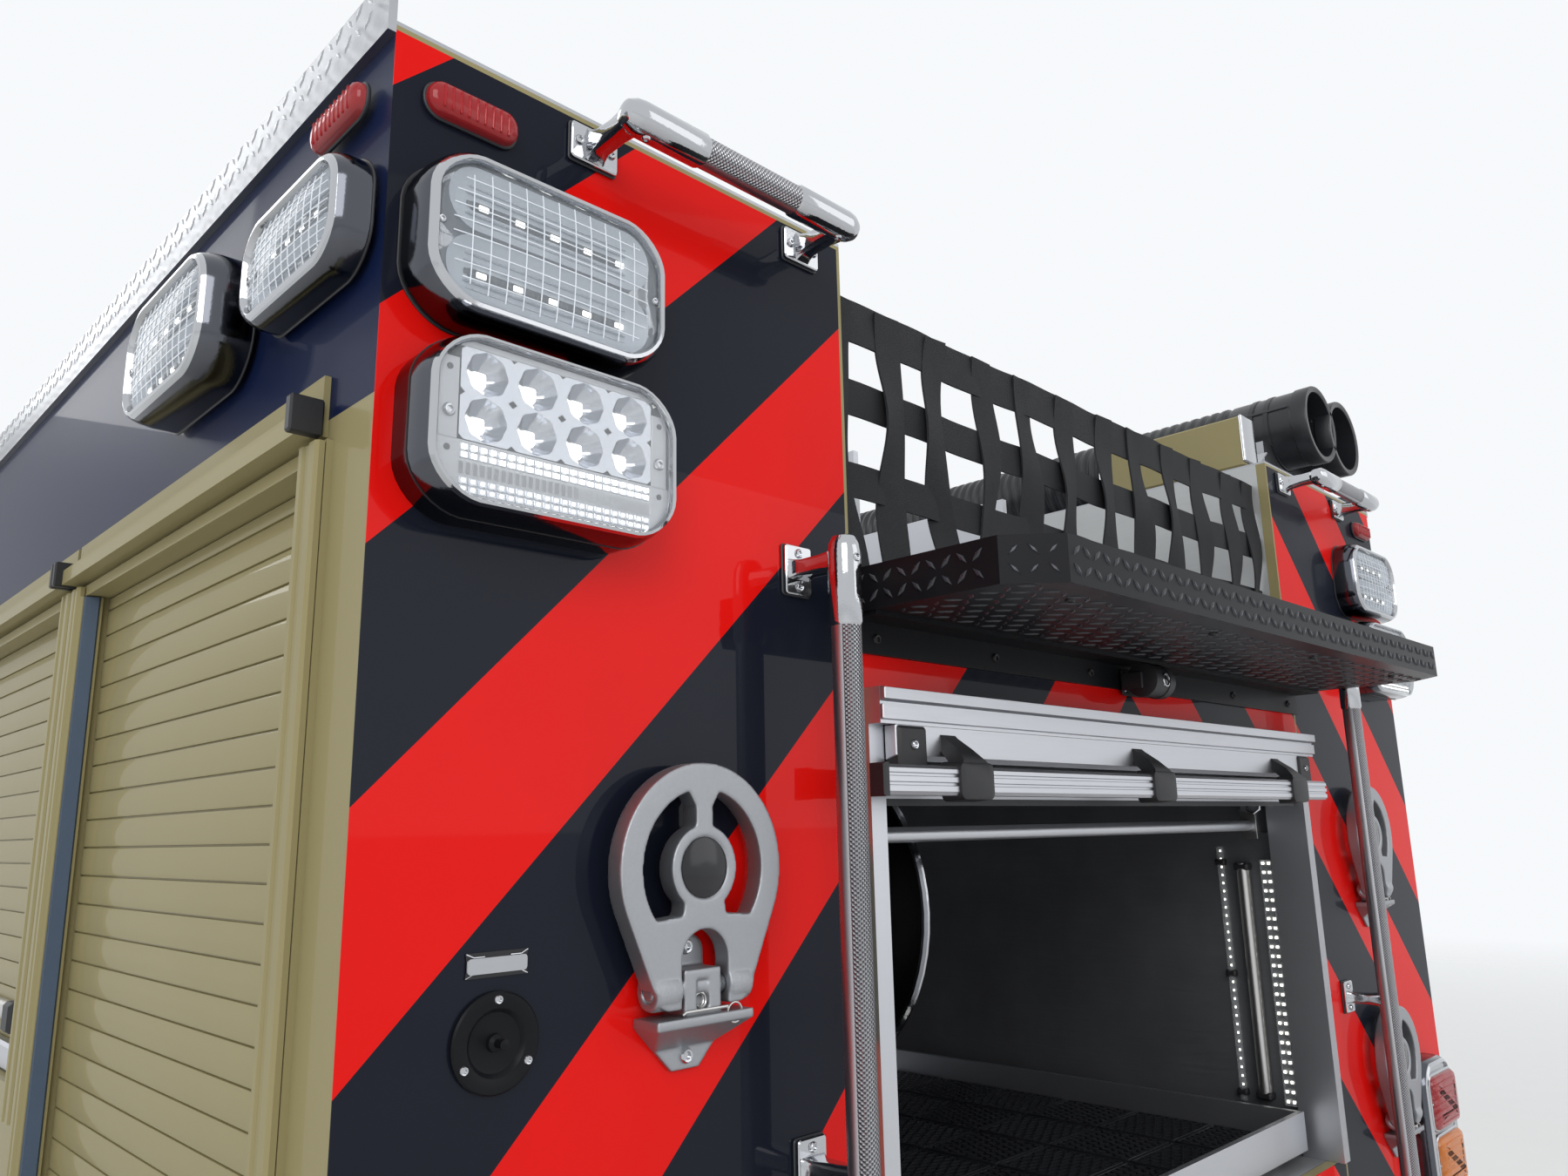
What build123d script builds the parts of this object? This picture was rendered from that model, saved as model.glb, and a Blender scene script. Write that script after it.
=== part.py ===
from build123d import *
import os
from math import sqrt

os.makedirs("parts", exist_ok=True)

# Mini pumper fire truck in millimetres: front towards -Y, driver's left towards +X, ground at Z = 0.

# Whole truck
wheelbase = 4293
front_overhang = 1237
rear_overhang = 1520
tailboard_depth = 270
running_gap = 5
bearing_gap = 0.5
seat_gap = 0.3

overall_length = front_overhang + wheelbase + rear_overhang + tailboard_depth
rear_y = overall_length / 2 - tailboard_depth
bumper_y = -overall_length / 2
rear_axle_y = rear_y - rear_overhang
front_axle_y = rear_axle_y - wheelbase

# Cab, pump house and body along the frame
cab_back_y = front_axle_y + 2159
pump_front_y = cab_back_y + 96
pump_length = 558
body_front_y = pump_front_y + pump_length
body_length = rear_y - body_front_y

# Body
body_width = 2440
body_top = 2290
body_bottom = 560
body_wall = 40
bay_width = 1276
module_x = body_width / 2
bay_x = bay_width / 2
body_floor = 900
rear_skin = 20

# Wheels
tyre_radius = 403.5
tyre_width = 226
rim_radius = 247.6
rim_lip = 262
rim_width = 172
front_track = 1900
rear_track = 1880
twin_spacing = 262
axle_z = tyre_radius
hub_radius = 82
spindle_radius = 44

# Chassis frame
rail_spacing = 864
rail_height = 190
rail_flange = 72
rail_web = 9
rail_top = 800
rail_bottom = rail_top - rail_height
rail_x = rail_spacing / 2

# Steering
kingpin_x = 850
kingpin_radius = 17
knuckle_radius = 42
knuckle_height = 190
yoke_thickness = 34
diff_radius = 175
front_hub_face = 1082

# Cab
cab_width = 2032
cab_wall = 60
cab_roof = 2050
cab_floor = 860
cab_bottom = 640
belt_z = 1440
cab_x = cab_width / 2
roof_inset = 130
cab_edge = 36
cowl_y = front_axle_y + 430
cowl_z = 1450
windshield_top_y = front_axle_y + 1010
door_front_y = front_axle_y + 560
door_back_y = front_axle_y + 1680
door_gap = 8
glass_thickness = 6
grille_y = front_axle_y - 850
hood_x = 850
hood_thickness = 40
hood_back_y = cowl_y - 78
hood_back_z = cowl_z - 12
cowl_depth = 52
floor_x = cab_x - cab_wall - 12
hood_hinge_x = 670
hood_hinge_y = cowl_y - 40
hood_hinge_z = hood_back_z - 20
hinge_pin = 6
hinge_barrel = 11
hinge_half = 17
door_hinge_x = cab_x + 30
door_hinge_zs = (830, 1300)
wing_top = hood_back_z - 70
wing_x = 1030
arch_radius = 480

# Rear end
step_top = 1872
step_lip = 52
step_depth = 268
step_x = bay_x + 12
opening_x = bay_x - 36
opening_top = 1737
opening_floor = 985
jamb_width = 26
tray_x = opening_x - 25
tray_length = 950
tray_top = 1068
tailboard_top = 600
reel_radius = 235
reel_width = 150
reel_x = bay_x - 186
reel_y = rear_y - 345
reel_z = 1468


def box(x0, x1, y0, y1, z0, z1, mode=Mode.ADD):
    with Locations(((x0 + x1) / 2, (y0 + y1) / 2, (z0 + z1) / 2)):
        Box(abs(x1 - x0), abs(y1 - y0), abs(z1 - z0), mode=mode)


def both_sides(x0, x1, y0, y1, z0, z1, mode=Mode.ADD):
    for side in (1, -1):
        box(side * x0, side * x1, y0, y1, z0, z1, mode)


def rod(start, end, radius, mode=Mode.ADD):
    run = Vector(*end) - Vector(*start)
    middle = Vector(*start) + run * 0.5
    with Locations(Plane(origin=middle, z_dir=run)):
        Cylinder(radius, run.length, mode=mode)


def save(piece, name):
    piece.part.label = name
    export_step(piece.part, f"parts/{name}.step")


# Frame rails and cross members
with BuildPart() as frame:
    frame_front_y = grille_y + 120
    frame_back_y = rear_y - 60
    with BuildSketch(Plane.XZ.offset(-frame_back_y)):
        for side in (1, -1):
            with Locations((side * (rail_x - rail_flange / 2), rail_top - rail_height / 2)):
                Rectangle(rail_flange, rail_height)
            with Locations((side * (rail_x - rail_flange / 2 - rail_web), rail_top - rail_height / 2)):
                Rectangle(rail_flange, rail_height - 2 * rail_web, mode=Mode.SUBTRACT)
    extrude(amount=frame_back_y - frame_front_y)
    cross_width = rail_spacing - 2 * rail_web
    for cross_y in (frame_front_y + 60, cab_back_y + 100, body_front_y + 500, rear_axle_y + 240, frame_back_y - 60):
        with BuildSketch(Plane.XZ.offset(-cross_y)):
            with Locations((0, rail_top - rail_height / 2)):
                Rectangle(cross_width, rail_height - 2 * rail_web)
                Rectangle(cross_width, rail_height - 8 * rail_web, mode=Mode.SUBTRACT)
        extrude(amount=60, both=True)
    for side in (1, -1):
        for sill_y in (body_front_y + 150, rear_axle_y - 650, rear_axle_y + 650, rear_y - 150):
            box(side * 300, side * rail_x, sill_y - 40, sill_y + 40, rail_top, body_floor)
save(frame, "frame_rails")

# Section plane through an axle: x across the truck, y up from the axle's centre line
def wheel_plane(centre_y):
    return Plane(origin=(0, centre_y, axle_z), x_dir=(1, 0, 0), z_dir=(0, -1, 0))


# Axle beams: tubes that swell into their differential housings
beam_end = kingpin_x - knuckle_radius - 20
spindle_end = rear_track / 2 + 110
front_tube = 45
rear_tube = 62
rear_tube_end = 700
with BuildPart() as axles:
    # axle, centre and radius of the housing, radius and end of the tube, end of the spindle
    for axle_y, centre, bowl, tube, tube_end, end in (
        (front_axle_y, -190, 135, front_tube, beam_end, beam_end + 1),
        (rear_axle_y, 0, diff_radius, rear_tube, rear_tube_end, spindle_end),
    ):
        swell = sqrt(bowl**2 - tube**2)
        with BuildSketch(wheel_plane(axle_y)):
            with BuildLine():
                Polyline((centre - swell, tube), (-tube_end, tube), (-tube_end, spindle_radius),
                         (-end, spindle_radius), (-end, 0), (end, 0), (end, spindle_radius),
                         (tube_end, spindle_radius), (tube_end, tube), (centre + swell, tube))
                ThreePointArc((centre - swell, tube), (centre, bowl), (centre + swell, tube))
            make_face()
        revolve(axis=Axis((0, axle_y, axle_z), (1, 0, 0)))
    for side in (1, -1):
        box(side * (beam_end - 40), side * beam_end, front_axle_y - 45, front_axle_y + 45,
            axle_z - knuckle_height / 2 - yoke_thickness, axle_z + knuckle_height / 2 + yoke_thickness)
        for ear in (1, -1):
            ear_z = axle_z + ear * (knuckle_height / 2 + yoke_thickness / 2)
            box(side * (beam_end - 40), side * kingpin_x, front_axle_y - 40, front_axle_y + 40,
                ear_z - yoke_thickness / 2, ear_z + yoke_thickness / 2)
            with Locations((side * kingpin_x, front_axle_y, ear_z)):
                Cylinder(40, yoke_thickness)
        with Locations((side * kingpin_x, front_axle_y, axle_z)):
            Cylinder(kingpin_radius, knuckle_height)
save(axles, "axle_beams")

# Leaf springs: three leaves each, clamped to the axle tubes and hung from the rails
with BuildPart() as springs:
    spring_width = 76
    for axle_y, half_span, tube in ((rear_axle_y, 640, rear_tube), (front_axle_y, 560, front_tube)):
        seat_z = axle_z + tube
        spring_x = rail_x + spring_width / 2 + 12
        for side in (1, -1):
            for leaf, reach in enumerate((0.45, 0.7, 1.0)):
                box(side * (spring_x - spring_width / 2), side * (spring_x + spring_width / 2),
                    axle_y - half_span * reach, axle_y + half_span * reach,
                    seat_z + 14 * leaf, seat_z + 14 * (leaf + 1))
            for end in (1, -1):
                end_y = axle_y + end * (half_span - 30)
                box(side * rail_x, side * (spring_x + spring_width / 2), end_y - 30, end_y + 30,
                    seat_z + 42, rail_bottom + 90)
save(springs, "leaf_springs")

# Transmission, drive shaft and silencer
shaft_z = 560
with BuildPart() as driveline:
    rod((0, cowl_y - 20, 645), (0, front_axle_y + 1150, 645), 140)
    shaft_start = Vector(0, front_axle_y + 1100, shaft_z + 20)
    shaft_run = Vector(0, rear_axle_y, axle_z) - shaft_start
    shaft_end = shaft_start + shaft_run * (1 - (diff_radius + seat_gap) / shaft_run.length)
    joint_start = shaft_start + shaft_run * (1 - (diff_radius + 110) / shaft_run.length)
    rod(shaft_start, shaft_end, 42)
    rod(joint_start, shaft_end, 60)
    rod((-230, cab_back_y + 200, shaft_z), (-230, cab_back_y + 950, shaft_z), 90)
    box(-240, -220, cab_back_y + 400, cab_back_y + 460, shaft_z, 690)
    box(-rail_x + rail_web, -220, cab_back_y + 400, cab_back_y + 460, 650, 690)
save(driveline, "driveline")

with BuildPart() as engine:
    box(-330, 330, front_axle_y - 420, cowl_y - 90, 640, 1250)
    both_sides(330, rail_x - rail_web - seat_gap, front_axle_y - 60, front_axle_y + 20, 680, 740)
save(engine, "engine_block")

with BuildPart() as fuel_tank:
    box(-355, 355, rear_axle_y + 340, rear_axle_y + 960, 450, rail_bottom + 40)
    fillet(fuel_tank.edges().filter_by(Axis.Y), 40)
    both_sides(350, rail_x - rail_web - seat_gap, rear_axle_y + 500, rear_axle_y + 560, rail_bottom + 12, rail_bottom + 38)
save(fuel_tank, "fuel_tank")


# Cab: the side outline crossed with a front outline that leans in above the belt
def cab_form(inset):
    with BuildPart() as form:
        with BuildSketch(Plane.YZ) as side_view:
            with BuildLine():
                Polyline(
                    (cowl_y + inset, cab_bottom + inset),
                    (cab_back_y - inset, cab_bottom + inset),
                    (cab_back_y - inset, belt_z),
                    (cab_back_y - 70 - inset, cab_roof - 60 - inset),
                    (cab_back_y - 150 - inset, cab_roof - inset),
                    (windshield_top_y + 90 + inset, cab_roof - inset),
                    (windshield_top_y + inset, cab_roof - 40 - inset),
                    (cowl_y + inset * 1.3, cowl_z),
                    close=True,
                )
            make_face()
            fillet(side_view.vertices().group_by(Axis.Y)[-1], cab_edge)
        extrude(amount=cab_x, both=True)
        with BuildSketch(Plane.XZ) as front_view:
            with BuildLine():
                Polyline(
                    (-cab_x + inset, cab_bottom + inset),
                    (cab_x - inset, cab_bottom + inset),
                    (cab_x - inset, belt_z),
                    (cab_x - roof_inset - inset, cab_roof - 50 - inset),
                    (cab_x - roof_inset - 90 - inset, cab_roof - inset),
                    (-cab_x + roof_inset + 90 + inset, cab_roof - inset),
                    (-cab_x + roof_inset + inset, cab_roof - 50 - inset),
                    (-cab_x + inset, belt_z),
                    close=True,
                )
            make_face()
            fillet(front_view.vertices().group_by(Axis.Y)[-2:-1] + front_view.vertices().group_by(Axis.Y)[-1:],
                   cab_edge)
        extrude(amount=overall_length, both=True, mode=Mode.INTERSECT)
    return form.part


def door_outline(gap):
    front = door_front_y + gap
    back = door_back_y - gap
    sill = cab_bottom + cab_wall + gap
    with BuildSketch(Plane.YZ) as outline:
        with BuildLine():
            Polyline(
                (front, sill),
                (back, sill),
                (back, cab_roof - 75 - gap),
                (windshield_top_y + 110 + gap, cab_roof - 75 - gap),
                (front, belt_z + 60),
                close=True,
            )
        make_face()
        fillet(outline.vertices().sort_by(Axis.X)[-2:], 40)
    return outline.sketch


def window_outline():
    with BuildSketch(Plane.YZ) as outline:
        with BuildLine():
            Polyline(
                (door_front_y + 150, belt_z + 30),
                (door_back_y - 80, belt_z + 30),
                (door_back_y - 90, cab_roof - 150),
                (windshield_top_y + 190, cab_roof - 150),
                (door_front_y + 150, belt_z + 110),
                close=True,
            )
        make_face()
        fillet(outline.vertices().sort_by(Axis.X)[-2:], 30)
    return outline.sketch


cab_outer = cab_form(0)
cab_inner = cab_form(cab_wall)
window_edge = 18

with BuildPart() as windshield_opening:
    slope = Plane(
        origin=(0, (cowl_y + windshield_top_y) / 2, (cowl_z + cab_roof - 40) / 2),
        x_dir=(1, 0, 0),
        z_dir=(0, -(cab_roof - 40 - cowl_z), windshield_top_y - cowl_y),
    )
    slope_length = sqrt((windshield_top_y - cowl_y) ** 2 + (cab_roof - 40 - cowl_z) ** 2)
    with BuildSketch(slope):
        Trapezoid(2 * cab_x - 190, slope_length - 110, 77)
    extrude(amount=150, both=True)

with BuildPart() as rear_opening:
    with BuildSketch(Plane.XZ.offset(-cab_back_y)):
        with Locations((0, belt_z + 270)):
            RectangleRounded(1250, 400, 40)
    extrude(amount=200, both=True)

with BuildPart() as door_openings:
    extrude(door_outline(0), amount=overall_length / 2, both=True)

with BuildPart() as cab_shell:
    add(cab_outer)
    add(cab_inner, mode=Mode.SUBTRACT)
    add(windshield_opening.part, mode=Mode.SUBTRACT)
    add(rear_opening.part, mode=Mode.SUBTRACT)
    add(door_openings.part, mode=Mode.SUBTRACT)
    box(-floor_x, floor_x, cowl_y + 100, cab_back_y - cab_wall / 2, cab_floor - 40, cab_floor)
    box(-cab_x + 90, cab_x - 90, cowl_y - cowl_depth, cowl_y + 30, cowl_z - 300, cowl_z - 6)
    both_sides(hood_hinge_x - 25, hood_hinge_x + 25, cowl_y - cowl_depth - 1, cowl_y - 5, cowl_z - 90, cowl_z + 1,
               Mode.SUBTRACT)
    for side in (1, -1):
        rod((side * (hood_hinge_x - 26), hood_hinge_y, hood_hinge_z),
            (side * (hood_hinge_x + 26), hood_hinge_y, hood_hinge_z), hinge_pin)
    box(-560, 560, cowl_y - 1, cab_back_y + 1, cab_bottom - 1, cab_floor - 40, Mode.SUBTRACT)
    both_sides(wing_x - 50 - seat_gap, cab_x + 1, cowl_y - 1, door_front_y, cab_bottom - 1, wing_top + 52,
               Mode.SUBTRACT)
    both_sides(300, rail_x, cowl_y + 300, cowl_y + 380, rail_top, cab_floor - 40)
    both_sides(300, rail_x, cab_back_y - 300, cab_back_y - 220, rail_top, cab_floor - 40)
save(cab_shell, "cab_shell")

with BuildPart() as cab_glass:
    with BuildSketch(slope):
        Trapezoid(2 * cab_x - 192, slope_length - 112, 77)
    extrude(amount=-glass_thickness)
    with BuildSketch(Plane.XZ.offset(-(cab_back_y - 90))):
        with Locations((0, belt_z + 270)):
            RectangleRounded(1248, 398, 39)
    extrude(amount=glass_thickness)
save(cab_glass, "cab_glass")

# Dashboard with the steering wheel on its column
wheel_centre = (390, door_front_y + 390, 1360)
with BuildPart() as dashboard:
    box(-cab_x + cab_wall + 14, cab_x - cab_wall - 14, door_front_y - 30, door_front_y + 250, 1130, 1400)
    fillet(dashboard.edges().filter_by(Axis.X).group_by(Axis.Y)[-1], 60)
    box(-160, 160, door_front_y - 30, door_front_y + 200, cab_floor, 1130)
    column = Plane(origin=wheel_centre, z_dir=(0, 1, 0.55))
    with BuildSketch(column):
        Circle(35)
    extrude(amount=-260)
    with Locations(column):
        Torus(190, 15)
        Cylinder(60, 40)
        Box(370, 40, 16)
save(dashboard, "dashboard")

# Seats: cushion and backrest on a base, one on each side
with BuildPart() as seats:
    for side in (1, -1):
        seat_x = side * 400
        with BuildSketch(Plane.YZ.offset(seat_x)):
            with BuildLine():
                Polyline(
                    (door_back_y - 600, 1080),
                    (door_back_y - 585, 1180),
                    (door_back_y - 180, 1150),
                    (door_back_y - 30, 1780),
                    (door_back_y + 90, 1770),
                    (door_back_y - 20, 1080),
                    close=True,
                )
            make_face()
        extrude(amount=255, both=True)
        box(seat_x - 200, seat_x + 200, door_back_y - 560, door_back_y - 100, cab_floor, 1080)
save(seats, "seats")


# Doors: what the cab form leaves inside the door outline, with a window and a mirror
def make_door(side):
    with BuildPart() as half:
        with BuildSketch(Plane.YZ):
            with Locations((0, 1400)):
                Rectangle(2 * overall_length, 3000)
        extrude(amount=side * overall_length)
    with BuildPart() as door:
        extrude(door_outline(door_gap), amount=overall_length / 2, both=True)
        add(cab_outer, mode=Mode.INTERSECT)
        add(cab_inner, mode=Mode.SUBTRACT)
        add(half.part, mode=Mode.INTERSECT)
        extrude(window_outline(), amount=overall_length / 2, both=True, mode=Mode.SUBTRACT)
        mirror_y = door_front_y + 190
        rod((side * (cab_x - 30), mirror_y, belt_z + 20), (side * (cab_x + 150), mirror_y, belt_z + 60), 16)
        rod((side * (cab_x - 45), mirror_y + 30, belt_z + 150), (side * (cab_x + 150), mirror_y, belt_z + 190), 14)
        with BuildSketch(Plane.XZ.offset(-(mirror_y + 45))):
            with Locations((side * (cab_x + 200), belt_z + 190)):
                RectangleRounded(220, 360, 40)
        extrude(amount=90)
        with Locations((side * (cab_x + 4), door_back_y - 150, belt_z - 90)):
            Box(40, 200, 34)
        for hinge_z in door_hinge_zs:
            box(side * (cab_x - 1), side * (cab_x + 6), door_front_y + 10, door_front_y + 80, hinge_z - 26, hinge_z + 26)
            box(side * (cab_x - 1), side * door_hinge_x, door_front_y + 9, door_front_y + 24,
                hinge_z - hinge_half, hinge_z + hinge_half)
            box(side * (door_hinge_x - 8), side * door_hinge_x, door_front_y, door_front_y + 24,
                hinge_z - hinge_half, hinge_z + hinge_half)
            with Locations((side * door_hinge_x, door_front_y, hinge_z)):
                Cylinder(hinge_barrel, 2 * hinge_half)
                Cylinder(hinge_pin + bearing_gap, 2 * hinge_half, mode=Mode.SUBTRACT)
    return door


def make_window(side):
    with BuildPart() as window:
        extrude(window_outline(), amount=overall_length / 2, both=True)
        add(cab_form(cab_wall / 2), mode=Mode.INTERSECT)
        add(cab_form(cab_wall / 2 + glass_thickness), mode=Mode.SUBTRACT)
        with BuildSketch(Plane.YZ):
            with Locations((0, 1400)):
                Rectangle(2 * overall_length, 3000)
        extrude(amount=-side * overall_length, mode=Mode.SUBTRACT)
    return window


for side, hand in ((1, "left"), (-1, "right")):
    save(make_door(side), f"door_{hand}")
    save(make_window(side), f"door_glass_{hand}")

# Hood: a crowned plate with side returns, hinged at the cowl
hood_front_z = 1290
with BuildPart() as hood:
    with BuildSketch(Plane.YZ.offset(-hood_x)):
        with BuildLine():
            ThreePointArc((hood_back_y, hood_back_z), (grille_y + 560, hood_front_z + 116),
                          (grille_y + 90, hood_front_z + 14))
            ThreePointArc((grille_y + 90, hood_front_z + 14), (grille_y + 30, hood_front_z - 12),
                          (grille_y + 10, hood_front_z - 60))
            Line((grille_y + 10, hood_front_z - 60), (grille_y + 10 + hood_thickness, hood_front_z - 60))
            ThreePointArc((grille_y + 10 + hood_thickness, hood_front_z - 60), (grille_y + 64, hood_front_z - 42),
                          (grille_y + 98, hood_front_z - 26))
            ThreePointArc((grille_y + 98, hood_front_z - 26), (grille_y + 560, hood_front_z + 76),
                          (hood_back_y, hood_back_z - hood_thickness))
            Line((hood_back_y, hood_back_z - hood_thickness), (hood_back_y, hood_back_z))
        make_face()
    extrude(amount=2 * hood_x)
    with BuildSketch(Plane.YZ.offset(-hood_x * 0.5)):
        with BuildLine():
            Polyline(
                (hood_back_y, hood_back_z + 22),
                (grille_y + 400, hood_front_z + 100),
                (grille_y + 300, hood_front_z + 50),
                (hood_back_y, hood_back_z - 10),
                close=True,
            )
        make_face()
    extrude(amount=hood_x)
    for side in (1, -1):
        lug_inner = side * (hood_hinge_x - hinge_half)
        lug_outer = side * (hood_hinge_x + hinge_half)
        box(lug_inner, lug_outer, hood_back_y - 50, hood_hinge_y, hood_hinge_z - 9, hood_hinge_z + 9)
        rod((lug_inner, hood_hinge_y, hood_hinge_z), (lug_outer, hood_hinge_y, hood_hinge_z), hinge_barrel)
        rod((lug_inner, hood_hinge_y, hood_hinge_z), (lug_outer, hood_hinge_y, hood_hinge_z),
            hinge_pin + bearing_gap, Mode.SUBTRACT)
save(hood, "hood")

# Front wings: outer skins with round arches and flared lips, tops beside the hood
with BuildPart() as wings:
    wing_back_y = door_front_y - door_gap
    for side in (1, -1):
        with BuildSketch(Plane.YZ.offset(side * wing_x)):
            with BuildLine():
                Polyline(
                    (grille_y + 20, 760),
                    (wing_back_y, cab_bottom),
                    (wing_back_y, wing_top + 50),
                    (grille_y + 300, hood_front_z),
                    (grille_y + 20, hood_front_z - 90),
                    close=True,
                )
            make_face()
        extrude(amount=-side * 50)
        with BuildSketch(Plane.YZ.offset(side * (hood_x + door_gap))):
            with BuildLine():
                Polyline(
                    (wing_back_y - 200, wing_top + 50),
                    (grille_y + 300, hood_front_z),
                    (grille_y + 20, hood_front_z - 90),
                    (grille_y + 20, hood_front_z - 130),
                    (grille_y + 300, hood_front_z - 40),
                    (wing_back_y - 200, wing_top),
                    close=True,
                )
            make_face()
        extrude(amount=side * (wing_x - hood_x - door_gap))
        with BuildSketch(Plane.YZ.offset(side * (wing_x - 50))):
            with Locations((front_axle_y, axle_z)):
                Circle(arch_radius + 50)
        extrude(amount=side * 115)
        with BuildSketch(Plane.YZ.offset(side * (hood_x - 20))):
            with Locations((front_axle_y, axle_z)):
                Circle(arch_radius)
        extrude(amount=side * 300, mode=Mode.SUBTRACT)
    box(-wing_x - 100, wing_x + 100, front_axle_y - 900, front_axle_y + 900, -200, 560, Mode.SUBTRACT)
    for side in (1, -1):
        for hinge_z in door_hinge_zs:
            box(side * (wing_x - 1), side * (wing_x + 6), door_front_y - 60, door_front_y - 12,
                hinge_z - hinge_half - 14, hinge_z + hinge_half + 14)
            with Locations((side * door_hinge_x, door_front_y, hinge_z)):
                Cylinder(hinge_pin, 2 * hinge_half + 28)
            for ear in (1, -1):
                ear_z = hinge_z + ear * (hinge_half + bearing_gap + 7)
                with Locations((side * door_hinge_x, door_front_y, ear_z)):
                    Cylinder(hinge_barrel, 14)
                box(side * (wing_x - 1), side * door_hinge_x, door_front_y - 50, door_front_y, ear_z - 7, ear_z + 7)
    box(-hood_x, hood_x, grille_y + 40, grille_y + 90, 900, hood_front_z - 150)
    both_sides(hood_x, wing_x - 20, grille_y + 40, grille_y + 90, 900, hood_front_z - 150)
save(wings, "front_wings")

# Grille: a framed opening with bars
with BuildPart() as grille:
    with BuildSketch(Plane.XZ.offset(-(grille_y + 40 - seat_gap))):
        with Locations((0, 1050)):
            RectangleRounded(1240, 330, 40)
            RectangleRounded(1140, 240, 30, mode=Mode.SUBTRACT)
            with GridLocations(0, 80, 1, 3):
                Rectangle(1150, 26)
            Rectangle(30, 250)
    extrude(amount=75)
save(grille, "grille")

with BuildPart() as headlamps:
    for side in (1, -1):
        with BuildSketch(Plane.XZ.offset(-(grille_y + 40 - seat_gap))):
            with Locations((side * 798, 1025)):
                RectangleRounded(350, 250, 40)
        extrude(amount=50)
save(headlamps, "headlamps")

# Front bumper: extended polished bumper with a deck behind its face
bumper_height = 290
bumper_bottom = 500
bumper_x = 1140
bumper_wall = 80
bumper_depth = 330
with BuildPart() as bumper:
    with BuildSketch(Plane.XY.offset(bumper_bottom)) as bumper_plan:
        with BuildLine():
            Polyline(
                (-bumper_x, bumper_y + bumper_depth),
                (-bumper_x, bumper_y + 130),
                (180 - bumper_x, bumper_y),
                (bumper_x - 180, bumper_y),
                (bumper_x, bumper_y + 130),
                (bumper_x, bumper_y + bumper_depth),
                close=True,
            )
        make_face()
        fillet(bumper_plan.vertices().group_by(Axis.Y)[:2], 50)
    extrude(amount=bumper_height)
    with BuildSketch(Plane.XY.offset(bumper_bottom)):
        with BuildLine():
            Polyline(
                (bumper_wall - bumper_x, bumper_y + bumper_depth),
                (bumper_wall - bumper_x, bumper_y + 140),
                (bumper_wall + 111 - bumper_x, bumper_y + 60),
                (bumper_x - bumper_wall - 111, bumper_y + 60),
                (bumper_x - bumper_wall, bumper_y + 140),
                (bumper_x - bumper_wall, bumper_y + bumper_depth),
                close=True,
            )
        make_face()
    extrude(amount=bumper_height - 10, mode=Mode.SUBTRACT)
    both_sides(rail_x - 80, rail_x - 10, bumper_y + 20, frame_front_y, rail_bottom + 10, rail_top - 21)
    for side in (1, -1):
        with Locations((side * 620, bumper_y, bumper_bottom + 150)):
            Box(180, 70, 110, mode=Mode.SUBTRACT)
        with Locations((side * 620, bumper_y + 24, bumper_bottom + 150)):
            Box(180, 30, 110)
save(bumper, "front_bumper")

with BuildPart() as running_boards:
    for side in (1, -1):
        box(side * (cab_x - 130), side * (cab_x + 90), door_front_y - 20, cab_back_y + 60, 470, 520)
        for hanger_y in (door_front_y + 200, cab_back_y - 200):
            box(side * rail_x, side * (cab_x - 130), hanger_y - 30, hanger_y + 30, 480, 510)
            box(side * rail_x, side * (rail_x + 20), hanger_y - 30, hanger_y + 30, 480, rail_bottom + 80)
save(running_boards, "running_boards")

# Roof light bar on two feet
with BuildPart() as light_bar:
    bar_y = (windshield_top_y + cab_back_y) / 2 - 80
    with BuildSketch(Plane.XY.offset(cab_roof + 25)):
        with Locations((0, bar_y)):
            RectangleRounded(1400, 300, 90)
    extrude(amount=105, taper=8)
    both_sides(430, 500, bar_y - 90, bar_y + 90, cab_roof, cab_roof + 25)
save(light_bar, "light_bar")

# Pump house between cab and body, open across for the cross-laid hose, with the pump panels inset
pump_back_y = body_front_y - seat_gap
pump_top = 2060
panel_inset = 60
with BuildPart() as pump_house:
    box(-module_x, module_x, pump_front_y, pump_back_y, body_bottom, body_top)
    box(-module_x, module_x, pump_front_y + 60, pump_back_y - 60, pump_top - 230, body_top, Mode.SUBTRACT)
    box(-module_x + 350, module_x - 350, pump_front_y + 60, pump_back_y - 60, 0, pump_top - 290, Mode.SUBTRACT)
    both_sides(module_x - panel_inset, module_x + 1, pump_front_y + 45, pump_back_y - 45, body_bottom + 45,
               pump_top - 275, Mode.SUBTRACT)
    box(-module_x, module_x, pump_back_y - 260, pump_back_y - 245, pump_top - 230, body_top - 60)
    box(-rail_x - 20, rail_x + 20, pump_front_y - 1, pump_back_y + 1, 0, rail_top + 1, Mode.SUBTRACT)
save(pump_house, "pump_house")

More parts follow.
